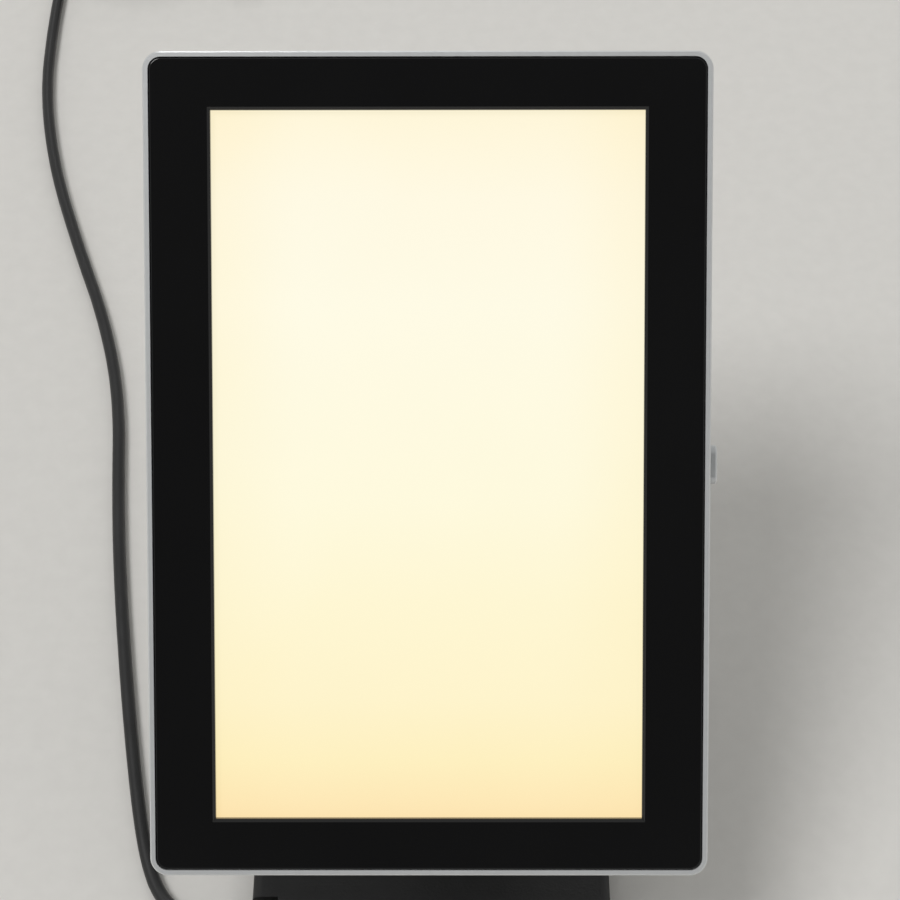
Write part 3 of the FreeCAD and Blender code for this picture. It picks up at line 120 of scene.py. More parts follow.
# the plug's shell with its windows, and its contacts as (place across, length)
SHELL_LENGTH = 12.0
SHELL_HALF_WIDTH = 6.0
SHELL_HALF_HEIGHT = 2.25
SHELL_WALL = 0.3
SHELL_SQUARENESS = 12.0
SHELL_WINDOW = (2.0, 2.0, 6.0)
SHELL_WINDOW_ALONG = 5.6
SHELL_WINDOW_ACROSS = 2.6
TONGUE_THICKNESS = 1.9
CONTACTS = [(-3.5, 8.6), (-1.0, 7.4), (1.0, 7.4), (3.5, 8.6)]
CONTACT_START = 2.0
CONTACT_WIDTH = 1.0
CONTACT_DEPTH = 0.12
CONTACT_EDGE = 0.05

# the tie round the coil, and its loose end on top
TIE_MIDDLE = COIL_CENTRE[1]
TIE_SIDES = (-109.05, -95.35)
TIE_LEVELS = (0.05, 9.05)
TIE_THICKNESS = 1.1
TIE_HALF_WIDTH = 4.5
TIE_BEND = 2.2
TIE_BEND_STEPS = 6
TIE_SOFT_WIDTH = 0.4
TIE_SOFT_DEPTH = 0.3
END_START = -106.0
END_LENGTH = 10.4
END_THICKNESS = 0.8
END_GAP = 0.02
END_BULGE = 0.25
END_STEPS = 8
END_NARROWS_FROM = 0.85
END_NARROWING = 1.0

# the panel, which leans back on its hinge; its own frame has X across, Y up the window and Z
# out of it
LEAN = math.radians(40.0)
HINGE_HEIGHT = 92.0
HINGE_UP = -35.0
HINGE_BACK = 13.0
WINDOW_HALF_WIDTH = 60.0
WINDOW_HALF_HEIGHT = 99.0

# the window's glow, from its lower edge to its upper one: shades, each with its share of the way
GLOW = [
    (0.0, "#ffe5af"), (0.08, "#fff0bd"), (0.17, "#fff4ca"), (0.31, "#fff7d2"),
    (0.45, "#fffadd"), (0.73, "#fffbe5"), (0.88, "#fff9e2"), (1.0, "#fff6d8"),
]

# the glow's sides: the shade that it is multiplied by there; the share of the half width where
# that starts; how much of it there is near the lower edge; and the two shares of the way up
# between which that grows to all of it
SIDE_SHADE = "#fffcf5"
SIDE_START = 0.55
SIDE_LEAST = 0.4
SIDE_GROWS = (0.15, 0.45)

# the glow's pools: their shade and size, the part of a noise's range that they grow over, and
# how much of the shade they reach
POOL_SHADE = "#fcfbe8"
POOL_SIZE = 75.0
POOL_NOISE = (0.5, 0.75)
POOL_MOST = 0.5

# screws: the panel's and the bracket's places are in the panel's own frame
PANEL_SCREW_ACROSS = 72.3
PANEL_SCREW_ROWS = (108.8, 40.0)
PANEL_SCREW_LEVEL = 0.6
PANEL_SCREW_LENGTH = 15.0
BRACKET_SCREW_ACROSS = 19.0
BRACKET_SCREW_UP = 10.0
BRACKET_SCREW_LEVEL = -2.8
BRACKET_SCREW_LENGTH = 5.6
BASE_SCREW_ACROSS = 48.5
BASE_SCREW_ROWS = (-84.0, 23.9)
BASE_SCREW_LEVEL = 1.7
BASE_SCREW_LENGTH = 5.0

# a screw: its head as (radius, depth), its shank and its tip; and its cross recess, above the
# head and at its floor, as (depth, reach, half width of an arm)
SCREW_HEAD = [
    (0.0001, 0.0), (1.62, 0.0), (2.35, 0.06), (2.595, 0.1225), (2.7, 0.35), (2.7, 1.8),
]
SCREW_HEAD_DEPTH = 1.8
SCREW_SHANK = 1.45
SCREW_TIP = 1.015
SCREW_TAPER = 1.0
RECESS = [(-0.5, 1.7825, 0.352), (1.2, 0.6975, 0.24)]

# a hinge cap as a closed line of (radius, height), and how far from the middle it sits
CAP_LINE = [
    (4.8, 0.0), (6.4, 0.0), (6.4, 2.6), (6.28, 3.05), (5.95, 3.45), (5.4, 3.6), (4.7, 3.6),
    (4.4, 3.38), (2.5, 3.26), (0.01, 3.24), (0.01, 2.4), (4.8, 2.4),
]
CAP_SEAT = 14.0

# the button's face and the pip on it
BUTTON_FACE = 81.75
BUTTON_LEVEL = 7.0
PIP_RADIUS = 0.9
PIP_RISE = 0.35
PIP_ROOT = -0.1
PIP_MIDDLE = 0.01
PIP_STEPS = 6

# points round a section of the plug
SECTION_STEPS = 40

# the part of a noise's range that stretches over a drift of colour or of roughness
COLOUR_NOISE = (0.32, 0.68)
ROUGHNESS_NOISE = (0.3, 0.7)

# sockets of a colour mix, whose names repeat
FACTOR, FIRST, SECOND, RESULT = 0, 6, 7, 2

# bands of a wave texture in one unit, at a scale of one
WAVE_BANDS = 20 / (2 * math.pi)

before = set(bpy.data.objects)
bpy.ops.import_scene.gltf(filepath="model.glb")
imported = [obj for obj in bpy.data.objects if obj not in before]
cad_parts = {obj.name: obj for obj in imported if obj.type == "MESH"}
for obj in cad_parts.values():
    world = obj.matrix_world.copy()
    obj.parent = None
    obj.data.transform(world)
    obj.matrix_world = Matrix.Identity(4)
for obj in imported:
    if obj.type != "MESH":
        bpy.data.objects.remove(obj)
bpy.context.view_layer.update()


# ---------------------------------------------------------------- places


def metres(point):
    """A point given in millimetres, in metres."""
    return Vector(point) * MM


def across(axis):
    """A matrix that lays the Z axis along the given direction."""
    return Vector(axis).to_track_quat("Z", "Y").to_matrix().to_4x4()


TILT = Matrix.Rotation(LEAN, 4, "X")
HINGE = Vector((0.0, 0.0, HINGE_HEIGHT))
PANEL = Matrix.Translation(HINGE - TILT @ Vector((0.0, HINGE_UP, -HINGE_BACK))) @ TILT
UP_THE_PANEL = TILT @ Vector((0.0, 1.0, 0.0))
PANEL_MIDDLE = PANEL.translation.dot(UP_THE_PANEL)


# ---------------------------------------------------------------- nodes and patterns


def linear(code):
    """An sRGB hex colour as linear light, with its alpha."""
    shares = [int(code[i:i + 2], 16) / 255 for i in (1, 3, 5)]
    return [s / 12.92 if s <= 0.04045 else ((s + 0.055) / 1.055) ** 2.4 for s in shares] + [1.0]


def add(tree, kind, inputs, **settings):
    """Adds a node with its settings; an input is a value or another node's output."""
    made = tree.nodes.new(kind)
    for name, value in settings.items():
        setattr(made, name, value)
    for name, value in inputs.items():
        if isinstance(value, bpy.types.NodeSocket):
            tree.links.new(value, made.inputs[name])
        else:
            made.inputs[name].default_value = value
    return made


def start_finish(name, sockets):
    """A material with its uniform values set, ready for its patterns."""
    finish = bpy.data.materials.new(name)
    finish.use_nodes = True
    tree = finish.node_tree
    shader = tree.nodes["Principled BSDF"]
    for socket, value in sockets.items():
        shader.inputs[socket].default_value = value
    where = add(tree, "ShaderNodeTexCoord", {}).outputs["Object"]
    return finish, tree, shader, where


def per(size):
    """Repeats in a metre of a pattern of this size."""
    return 1.0 / (size * MM)


def stretched(tree, where, scale, turn=(0.0, 0.0, 0.0)):
    """The place scaled and turned, for a pattern that runs one way."""
    made = add(tree, "ShaderNodeMapping", {"Vector": where, "Rotation": turn, "Scale": scale})
    return made.outputs["Vector"]


def noise(tree, where, size, detail=2.0, roughness=0.5):
    """Cloudy patches of a size."""
    inputs = {"Vector": where, "Scale": per(size), "Detail": detail, "Roughness": roughness}
    return add(tree, "ShaderNodeTexNoise", inputs).outputs["Fac"]


def cells(tree, where, size, randomness=1.0, **settings):
    """Distance from the middles of cells of a size."""
    inputs = {"Vector": where, "Scale": per(size), "Randomness": randomness}
    return add(tree, "ShaderNodeTexVoronoi", inputs, **settings).outputs["Distance"]


def bands(tree, where, size, distortion=0.0, **settings):
    """Parallel bands of a size."""
    inputs = {"Vector": where, "Scale": per(size) / WAVE_BANDS, "Distortion": distortion}
    return add(tree, "ShaderNodeTexWave", inputs, **settings).outputs["Fac"]


def ranged(tree, value, low, high, start=0.0, end=1.0, **settings):
    """A value brought from between low and high to between start and end, and kept there."""
    inputs = {"Value": value, "From Min": low, "From Max": high, "To Min": start, "To Max": end}
    return add(tree, "ShaderNodeMapRange", inputs, **settings).outputs["Result"]


def blend(tree, share, first, second, **settings):
    """A colour that goes from the first to the second as the share grows."""
    shades = [linear(shade) if isinstance(shade, str) else shade for shade in (first, second)]
    inputs = {FACTOR: share, FIRST: shades[0], SECOND: shades[1]}
    return add(tree, "ShaderNodeMix", inputs, data_type="RGBA", **settings).outputs[RESULT]


def shades_along(tree, share, stops):
    """A colour that runs through shades, each given with its share of the way."""
    ramp = add(tree, "ShaderNodeValToRGB", {"Fac": share})
    elements = ramp.color_ramp.elements
    for i, (place, code) in enumerate(stops):
        element = elements[i] if i in (0, len(stops) - 1) else elements.new(place)
        element.position = place
        element.color = linear(code)
    return ramp.outputs["Color"]


def drift_colour(tree, shader, where, first, second, size, detail=3.0):
    """Colour that drifts between two shades over patches of a size."""
    spread = ranged(tree, noise(tree, where, size, detail), *COLOUR_NOISE)
    shade = blend(tree, spread, first, second)
    tree.links.new(shade, shader.inputs["Base Color"])
    return shade


def drift_roughness(tree, shader, where, smooth, rough, size, detail=4.0):
    """Roughness that drifts between two values over patches of a size."""
    spread = ranged(tree, noise(tree, where, size, detail), *ROUGHNESS_NOISE, smooth, rough)
    tree.links.new(spread, shader.inputs["Roughness"])


def relief(tree, shader, height, depth):
    """Relief of a depth on the surface, over any relief that it has already."""
    bump = add(tree, "ShaderNodeBump", {"Height": height, "Distance": depth * MM})
    before = shader.inputs["Normal"].links
    if before:
        tree.links.new(before[0].from_socket, bump.inputs["Normal"])
    tree.links.new(bump.outputs["Normal"], shader.inputs["Normal"])


def mould_grain(tree, shader, where, size, depth):
    """The fine pits of an etched mould."""
    relief(tree, shader, noise(tree, where, size, 2.0, 0.6), depth)


# ---------------------------------------------------------------- camera and stage


def make_camera():
    """A steep look down at the lit side, almost square to it."""
    camera = bpy.data.objects.new("camera", bpy.data.cameras.new("camera"))
    camera.data.lens = CAMERA_LENS
    camera.data.sensor_width = SENSOR_WIDTH
    camera.data.clip_start = CLIP_NEAR * MM
    camera.data.clip_end = CLIP_FAR * MM
    turn = Matrix.Rotation(math.radians(-CAMERA_YAW), 4, "Z")
    dip = Matrix.Rotation(math.radians(90.0 - CAMERA_PITCH), 4, "X")
    roll = Matrix.Rotation(math.radians(CAMERA_ROLL), 4, "Z")
    camera.matrix_world = Matrix.Translation(metres(CAMERA_PLACE)) @ turn @ dip @ roll
    bpy.context.scene.collection.objects.link(camera)
    bpy.context.scene.camera = camera


def matt_table_paint():
    """Matt lacquered board: a pale surface with the faint stipple of a foam roller."""
    finish, tree, shader, where = start_finish("matt_table_paint", {"Specular IOR Level": 0.3})
    drift_colour(tree, shader, where, "#d6d4d0", "#d9d7d3", 6.0)
    drift_roughness(tree, shader, where, 0.66, 0.7, 8.0)
    mould_grain(tree, shader, where, 2.0, 0.03)
    return finish


def make_floor():
    """A wide plain table top under the lamp."""
    shape = bmesh.new()
    bmesh.ops.create_grid(shape, x_segments=1, y_segments=1, size=TABLE_HALF * MM)
    table_top = bpy.data.objects.new("table_top", mesh_of(shape, "table_top"))
    bpy.context.scene.collection.objects.link(table_top)
    table_top.data.materials.append(matt_table_paint())


def make_lamps():
    """A soft key from high on the left, and a weak lamp behind that picks out the rims."""
    for name, towards, strength, spread in LAMPS:
        light = bpy.data.lights.new(name, "SUN")
        light.energy = strength
        light.angle = math.radians(spread)
        lamp = bpy.data.objects.new(name, light)
        lamp.matrix_world = across(towards)
        bpy.context.scene.collection.objects.link(lamp)


def make_room():
    """An even pale room, with a dark card in front that keeps the black frame deep."""
    room = bpy.data.worlds.new("room")
    room.use_nodes = True
    tree = room.node_tree
    background = tree.nodes["Background"]
    background.inputs["Color"].default_value = linear(ROOM_COLOUR)
    towards = add(tree, "ShaderNodeTexCoord", {}).outputs["Generated"]
    ahead = add(
        tree, "ShaderNodeVectorMath", {0: towards, 1: CARD_TOWARDS}, operation="DOT_PRODUCT"
    )
    level = ranged(
        tree, ahead.outputs["Value"], CARD_OUTER_EDGE, CARD_INNER_EDGE,
        ROOM_STRENGTH, CARD_STRENGTH, interpolation_type="SMOOTHSTEP",
    )
    tree.links.new(level, background.inputs["Strength"])
    bpy.context.scene.world = room
    bpy.context.scene.view_settings.view_transform = "Standard"


# ---------------------------------------------------------------- finishes of the panel


def satin_silver_paint():
    """ABS sprayed with silver lacquer: fine metal flake, softly mirror-grey, under a thin clear
    coat that glints along the edges."""
    finish, tree, shader, where = start_finish(
        "satin_silver_paint", {"Metallic": 0.5, "Coat Weight": 0.4, "Coat Roughness": 0.12}
    )
    drift_colour(tree, shader, where, "#d3d5d6", "#d6d8d9", 1.5)
    drift_roughness(tree, shader, where, 0.33, 0.36, 2.0)
    # flake is about 0.03 mm, drawn at 0.5 mm so that it shows
    relief(tree, shader, cells(tree, where, 0.5), 0.005)
    mould_grain(tree, shader, where, 4.0, 0.003)
    return finish


def piano_black_abs():
    """ABS from a polished mould: deep black, mirror smooth, with faint wiping marks."""
    finish, tree, shader, where = start_finish("piano_black_abs", {"IOR": 1.5})
    drift_colour(tree, shader, where, "#040405", "#070708", 60.0)
    # wiping marks are hairlines, stretched up the panel
    up = stretched(tree, where, (1.0, 0.06, 1.0), (-LEAN, 0.0, 0.35))
    marks = noise(tree, up, 1.2, 5.0, 0.7)
    tree.links.new(ranged(tree, marks, 0.5, 0.8, 0.05, 0.16), shader.inputs["Roughness"])
    mould_grain(tree, shader, where, 18.0, 0.01)
    return finish


def satin_black_abs():
    """ABS from a finely blasted mould: black with a soft even sheen."""
    finish, tree, shader, where = start_finish("satin_black_abs", {"IOR": 1.53})
    drift_colour(tree, shader, where, "#101012", "#151517", 9.0)
    drift_roughness(tree, shader, where, 0.34, 0.46, 5.0)
    mould_grain(tree, shader, where, 0.5, 0.01)
    return finish


def satin_chrome_plate():
    """Chrome plated on ABS over satin nickel: a cool bright metal with a fine lengthwise brush."""
    finish, tree, shader, where = start_finish("satin_chrome_plate", {"Metallic": 0.55})
    drift_colour(tree, shader, where, "#d8dadc", "#e1e3e5", 4.0)
    # brush lines are about 0.05 mm, drawn at 0.3 mm so that they show
    up = stretched(tree, where, (1.0, 0.05, 1.0), (-LEAN, 0.0, 0.0))
    relief(tree, shader, noise(tree, up, 0.3), 0.002)
    drift_roughness(tree, shader, where, 0.38, 0.44, 3.0)
    return finish


def share_of_the_way_up(tree, where):
    """Zero at the window's lower edge, one at its upper edge."""
    up = add(tree, "ShaderNodeVectorMath", {0: where, 1: UP_THE_PANEL}, operation="DOT_PRODUCT")
    low = (PANEL_MIDDLE - WINDOW_HALF_HEIGHT) * MM
    high = (PANEL_MIDDLE + WINDOW_HALF_HEIGHT) * MM
    return ranged(tree, up.outputs["Value"], low, high)


def dimmed_sides(tree, where, share, glow):
    """The glow, slightly dimmer at the sides, and hardly so near the lower edge."""
    place = add(tree, "ShaderNodeSeparateXYZ", {"Vector": where})
    outward = add(tree, "ShaderNodeMath", {0: place.outputs["X"]}, operation="ABSOLUTE")
    start, edge = SIDE_START * WINDOW_HALF_WIDTH * MM, WINDOW_HALF_WIDTH * MM
    most = ranged(tree, share, *SIDE_GROWS, SIDE_LEAST)
    dim = ranged(
        tree, outward.outputs["Value"], start, edge, 0.0, most, interpolation_type="SMOOTHSTEP"
    )
    return blend(tree, dim, glow, SIDE_SHADE, blend_type="MULTIPLY")


def pooled_light(tree, where, share, glow):
    """The glow with broad cooler pools from the printed guide behind, clearer towards the top."""
    cool = ranged(tree, noise(tree, where, POOL_SIZE, 1.0), *POOL_NOISE, 0.0, POOL_MOST)
    return blend(tree, share, glow, blend(tree, cool, glow, POOL_SHADE))


def lit_opal_acrylic():
    """Opal acrylic sheet, cast, lit from behind: an even cream glow, warmer near its lower edge."""
    finish, tree, shader, where = start_finish(
        "lit_opal_acrylic", {"IOR": 1.49, "Roughness": 0.42, "Emission Strength": 0.92}
    )
    drift_colour(tree, shader, where, "#4c4a45", "#504e49", 30.0)
    share = share_of_the_way_up(tree, where)
    glow = shades_along(tree, share, GLOW)
    glow = dimmed_sides(tree, where, share, glow)
    glow = pooled_light(tree, where, share, glow)
    tree.links.new(glow, shader.inputs["Emission Color"])
    # the cast skin is matt to 0.02 mm, drawn at 0.6 mm so that it shows
    mould_grain(tree, shader, where, 0.6, 0.006)
    return finish


def foam_rubber():
    """Closed-cell EPDM strip, cut: dull black with open pores."""
    finish, tree, shader, where = start_finish("foam_rubber", {"Roughness": 0.9})
    drift_colour(tree, shader, where, "#0c0c0c", "#161616", 2.0)
    relief(tree, shader, cells(tree, where, 0.7), 0.15)
    return finish


def prism_film():
    """PET film with rolled prisms: a silvery sheet with fine level ridges."""
    finish, tree, shader, where = start_finish("prism_film", {"IOR": 1.57, "Roughness": 0.2})
    drift_colour(tree, shader, where, "#e3e6ea", "#edeff1", 25.0)
    # prisms are 0.05 mm apart, drawn at 0.5 mm so that they show
    ridges = bands(tree, where, 0.5, bands_direction="Z", wave_profile="TRI")
    relief(tree, shader, ridges, 0.05)
    return finish


def dotted_acrylic():
    """Clear acrylic plate, screen printed: rows of white dots that turn the light outwards."""
    finish, tree, shader, where = start_finish("dotted_acrylic", {"IOR": 1.49, "Roughness": 0.08})
    edge = ranged(tree, cells(tree, where, 1.6, 0.0), 0.3, 0.36)
    tree.links.new(blend(tree, edge, "#f6f4ec", "#c8d3d2"), shader.inputs["Base Color"])
    mould_grain(tree, shader, where, 12.0, 0.004)
    return finish


def white_foamed_pet():
    """Microfoamed PET sheet: bright white, with a soft sheen."""
    finish, tree, shader, where = start_finish("white_foamed_pet", {"IOR": 1.57})
    drift_colour(tree, shader, where, "#eceae6", "#f2f1ee", 8.0)
    drift_roughness(tree, shader, where, 0.35, 0.5, 12.0)
    mould_grain(tree, shader, where, 0.8, 0.01)
    return finish


# ---------------------------------------------------------------- finishes of metal pieces


def mill_aluminium():
    """Rolled aluminium sheet as it leaves the mill: pale grey with lengthwise rolling lines."""
    finish, tree, shader, where = start_finish("mill_aluminium", {"Metallic": 1.0})
    drift_colour(tree, shader, where, "#a9acb0", "#bcbfc2", 20.0)
    drift_roughness(tree, shader, where, 0.28, 0.42, 9.0)
    along = stretched(tree, where, (1.0, 0.03, 0.03))
    relief(tree, shader, noise(tree, along, 0.6), 0.01)
    return finish


def zinc_plated_steel():
    """Steel, barrel plated with zinc: bright grey with a faint blue and yellow bloom."""
    finish, tree, shader, where = start_finish("zinc_plated_steel", {"Metallic": 1.0})
    drift_colour(tree, shader, where, "#a7abb3", "#bdbab0", 1.6)
    drift_roughness(tree, shader, where, 0.22, 0.4, 1.1)
    mould_grain(tree, shader, where, 0.5, 0.01)
    return finish


def galvanised_sheet():
    """Hot-dip galvanised sheet: grey with flat crystal patches."""
    finish, tree, shader, where = start_finish("galvanised_sheet", {"Metallic": 1.0})
    crystals = add(tree, "ShaderNodeTexVoronoi", {"Vector": where, "Scale": per(4.0)})
    tone = add(tree, "ShaderNodeSeparateColor", {"Color": crystals.outputs["Color"]})
    shade = blend(tree, tone.outputs["Red"], "#8d9196", "#b4b8bb")
    tree.links.new(shade, shader.inputs["Base Color"])
    drift_roughness(tree, shader, where, 0.35, 0.55, 3.0)
    return finish


def turned_stainless():
    """Stainless bar, turned: bright, with fine rings left by the tool."""
    finish, tree, shader, where = start_finish("turned_stainless", {"Metallic": 1.0})
    drift_colour(tree, shader, where, "#b9bbbd", "#c9cacb", 3.0)
    drift_roughness(tree, shader, where, 0.18, 0.3, 1.5)
    relief(tree, shader, bands(tree, where, 0.5, bands_direction="X"), 0.01)
    return finish


def black_powder_coat():
    """Steel, powder coated and baked: black, with the even ripple of fused powder."""
    finish, tree, shader, where = start_finish("black_powder_coat", {"IOR": 1.5})
    drift_colour(tree, shader, where, "#131314", "#19191a", 6.0)
    drift_roughness(tree, shader, where, 0.38, 0.5, 3.0)
    mould_grain(tree, shader, where, 1.1, 0.05)
    return finish


def cast_iron():
    """Grey iron, sand cast and ground flat: dark grey and grainy."""
    finish, tree, shader, where = start_finish("cast_iron", {"Metallic": 0.85})
    drift_colour(tree, shader, where, "#3f4042", "#565557", 2.5, 6.0)
    drift_roughness(tree, shader, where, 0.5, 0.72, 2.0)
    mould_grain(tree, shader, where, 0.9, 0.08)
    return finish


def nickel_plated_shell():
    """Stamped steel, nickel plated: a warm bright metal, dulled in places by handling."""
    finish, tree, shader, where = start_finish("nickel_plated_shell", {"Metallic": 1.0})
    drift_colour(tree, shader, where, "#bdbab3", "#c8c5be", 3.0)
    drift_roughness(tree, shader, where, 0.26, 0.4, 1.2, 6.0)
    return finish


def gold_flash():
    """Copper alloy with a thin plated gold layer: a smooth yellow metal."""
    finish, tree, shader, where = start_finish("gold_flash", {"Metallic": 1.0})
    drift_colour(tree, shader, where, "#cfa452", "#dcb469", 1.0)
    drift_roughness(tree, shader, where, 0.2, 0.32, 0.8)
    return finish


# ---------------------------------------------------------------- finishes of the electronics


def white_solder_mask():
    """Aluminium strip board with white solder mask: bright, slightly glossy, with faint tracks."""
    finish, tree, shader, where = start_finish("white_solder_mask", {"Roughness": 0.3})
    drift_colour(tree, shader, where, "#e4e3de", "#efeeea", 5.0)
    tracks = add(
        tree, "ShaderNodeTexBrick",
        {"Vector": where, "Scale": per(8.0), "Mortar Size": 0.06, "Mortar Smooth": 0.3},
    )
    relief(tree, shader, tracks.outputs["Fac"], 0.03)
    return finish


def phosphor_resin():
    """Silicone with yellow phosphor, dispensed: a dull yellow, slightly domed and lit."""
    finish, tree, shader, where = start_finish(
        "phosphor_resin", {"Roughness": 0.35, "Emission Strength": 0.6}
    )
    colour = drift_colour(tree, shader, where, "#efc24a", "#f7d672", 1.2)
    tree.links.new(colour, shader.inputs["Emission Color"])
    mould_grain(tree, shader, where, 1.4, 0.05)
    return finish


def green_circuit_board():
    """Glass-epoxy board under green solder mask: copper tracks show as paler raised lines."""
    finish, tree, shader, where = start_finish("green_circuit_board", {"Roughness": 0.3})
    tracks = add(
        tree, "ShaderNodeTexBrick",
        {
            "Vector": where, "Scale": per(6.0), "Color1": linear("#12402a"),
            "Color2": linear("#164a31"), "Mortar": linear("#2d6b48"), "Mortar Size": 0.09,
        },
    )
    tree.links.new(tracks.outputs["Color"], shader.inputs["Base Color"])
    relief(tree, shader, tracks.outputs["Fac"], 0.035)
    return finish


def wound_ferrite():
    """Ferrite bobbin wound with enamelled copper: turns of amber wire, with painted shade in the
    grooves between them.
    """
    finish, tree, shader, where = start_finish(
        "wound_ferrite", {"Metallic": 0.4, "Roughness": 0.35}
    )
    turns = bands(tree, where, 0.5, bands_direction="Y")
    # the colour runs from the wire's amber on each turn to painted shade in the groove between
    # turns
    tree.links.new(blend(tree, turns, "#2c1a10", "#8a4a22"), shader.inputs["Base Color"])
    relief(tree, shader, turns, 0.1)
    return finish


def sleeved_aluminium_can():
    """Drawn aluminium can in a shrunk vinyl sleeve: dark blue-grey with a soft gloss."""
    finish, tree, shader, where = start_finish("sleeved_aluminium_can", {"Coat Weight": 0.3})
    drift_colour(tree, shader, where, "#1c2738", "#243248", 3.0)
    drift_roughness(tree, shader, where, 0.25, 0.4, 2.0)
    mould_grain(tree, shader, where, 1.5, 0.02)
    return finish


def black_epoxy():
    """Moulded epoxy package: dark grey and finely rough."""
    finish, tree, shader, where = start_finish("black_epoxy", {"IOR": 1.55})
    drift_colour(tree, shader, where, "#1a1a1c", "#222224", 1.5)
    drift_roughness(tree, shader, where, 0.5, 0.65, 1.0)
    mould_grain(tree, shader, where, 0.3, 0.01)
    return finish


def natural_nylon():
    """Moulded nylon: milky off-white with a waxy sheen."""
    finish, tree, shader, where = start_finish("natural_nylon", {"IOR": 1.53})
    drift_colour(tree, shader, where, "#ddd8c9", "#e7e3d6", 2.5)
    drift_roughness(tree, shader, where, 0.35, 0.48, 1.5)
    mould_grain(tree, shader, where, 0.6, 0.01)
    return finish


def pvc_wire():
    """Extruded PVC insulation: smooth dark red with a slight sheen."""
    finish, tree, shader, where = start_finish("pvc_wire", {"IOR": 1.53})
    drift_colour(tree, shader, where, "#6e1614", "#7d1d19", 4.0)
    drift_roughness(tree, shader, where, 0.32, 0.42, 2.0)
    mould_grain(tree, shader, where, 0.5, 0.008)
    return finish


# ---------------------------------------------------------------- finishes of the stand and lead


def etched_black_abs():
    """ABS from an etched mould: black, matt, with a fine leathery grain that hides scratches."""
    finish, tree, shader, where = start_finish("etched_black_abs", {"IOR": 1.53})
    drift_colour(tree, shader, where, "#131314", "#171718", 2.5)
    drift_roughness(tree, shader, where, 0.52, 0.58, 5.0)
    # the etch is about 0.25 mm, drawn at 0.7 mm so that it shows
    relief(tree, shader, cells(tree, where, 0.7, feature="SMOOTH_F1"), 0.05)
    mould_grain(tree, shader, where, 0.5, 0.015)
    return finish


def plain_black_abs():
    """ABS from a machined mould: black, half matt, with faint cutter lines."""
    finish, tree, shader, where = start_finish("plain_black_abs", {"IOR": 1.53})
    drift_colour(tree, shader, where, "#161617", "#1d1d1e", 15.0)
    drift_roughness(tree, shader, where, 0.4, 0.52, 10.0)
    relief(tree, shader, bands(tree, where, 1.0, 0.6, bands_direction="DIAGONAL"), 0.01)
    return finish


def moulded_silicone():
    """Compression-moulded silicone: soft matt black with a close diamond tread."""
    finish, tree, shader, where = start_finish("moulded_silicone", {"IOR": 1.41})
    drift_colour(tree, shader, where, "#19191a", "#222223", 10.0)
    drift_roughness(tree, shader, where, 0.7, 0.85, 6.0)
    tread = add(
        tree, "ShaderNodeTexBrick",
        {
            "Vector": stretched(tree, where, (1.0, 1.0, 1.0), (0.0, 0.0, math.pi / 4)),
            "Scale": per(4.0), "Mortar Size": 0.12, "Mortar Smooth": 0.6,
            "Brick Width": 0.5, "Row Height": 0.5,
        },
        offset=0.0,
    )
    relief(tree, shader, tread.outputs["Fac"], 0.25)
    return finish


def black_pvc_jacket():
    """Extruded flexible PVC: black and smooth, with a waxy sheen."""
    finish, tree, shader, where = start_finish("black_pvc_jacket", {"IOR": 1.53})
    drift_colour(tree, shader, where, "#0e0e0f", "#151516", 18.0)
    drift_roughness(tree, shader, where, 0.34, 0.48, 7.0)
    mould_grain(tree, shader, where, 1.3, 0.03)
    return finish


def woven_hook_tape():
    """Woven nylon hook-and-loop tape: black with a fuzzy pile of short loops."""
    finish, tree, shader, where = start_finish(
        "woven_hook_tape", {"Roughness": 0.85, "Sheen Weight": 0.35, "Sheen Roughness": 0.4}
    )
    drift_colour(tree, shader, where, "#121213", "#232325", 0.9)
    # loops stand about 0.4 mm apart, drawn at 0.6 mm so that they show
    relief(tree, shader, cells(tree, where, 0.6, 0.4), 0.3)
    return finish


# ---------------------------------------------------------------- shapes


def stitch(shape, rings, hollow=False):
    """Joins rings of vertices in order, and closes the ends, or joins the last to the first."""
    pairs = list(zip(rings, rings[1:]))
    if hollow:
        pairs.append((rings[-1], rings[0]))
    for low, high in pairs:
        for i in range(len(low)):
            j = (i + 1) % len(low)
            shape.faces.new((low[i], low[j], high[j], high[i]))
    if not hollow:
        shape.faces.new(rings[0][::-1])
        shape.faces.new(rings[-1])
    bmesh.ops.recalc_face_normals(shape, faces=shape.faces)


def add_skin(shape, rings, hollow=False):
    """Adds a skin over rings of points to a shape."""
    stitch(shape, [[shape.verts.new(point) for point in ring] for ring in rings], hollow)
    return shape


def turned(profile, steps, hollow=False):
    """A shape turned about Z from points (radius, height); a hollow one joins its two ends."""
    angles = [2 * math.pi * i / steps for i in range(steps)]
    rings = [
        [(radius * math.cos(angle), radius * math.sin(angle), height) for angle in angles]
        for radius, height in profile
    ]
    return add_skin(bmesh.new(), rings, hollow)


def rounded_section(x, middle, half_width, half_height, squareness):
    """A ring square to X: an oval that gets boxier as its squareness grows."""
    ring = []
    for i in range(SECTION_STEPS):
        angle = 2 * math.pi * (i + 0.5) / SECTION_STEPS
        c, s = math.cos(angle), math.sin(angle)
        y = math.copysign(abs(c) ** (2 / squareness), c) * half_width
        z = math.copysign(abs(s) ** (2 / squareness), s) * half_height
        ring.append((x, y, middle + z))
    return ring


def add_block(shape, middle, size):
    """Adds a block to a shape."""
    place = Matrix.Translation(middle) @ Matrix.Diagonal((*size, 1.0))
    bmesh.ops.create_cube(shape, size=1.0, matrix=place)


def mesh_of(shape, name):
    """The shape as a mesh of that name; the shape is used up."""
    mesh = bpy.data.meshes.new(name)
    shape.to_mesh(mesh)
    shape.free()
    return mesh


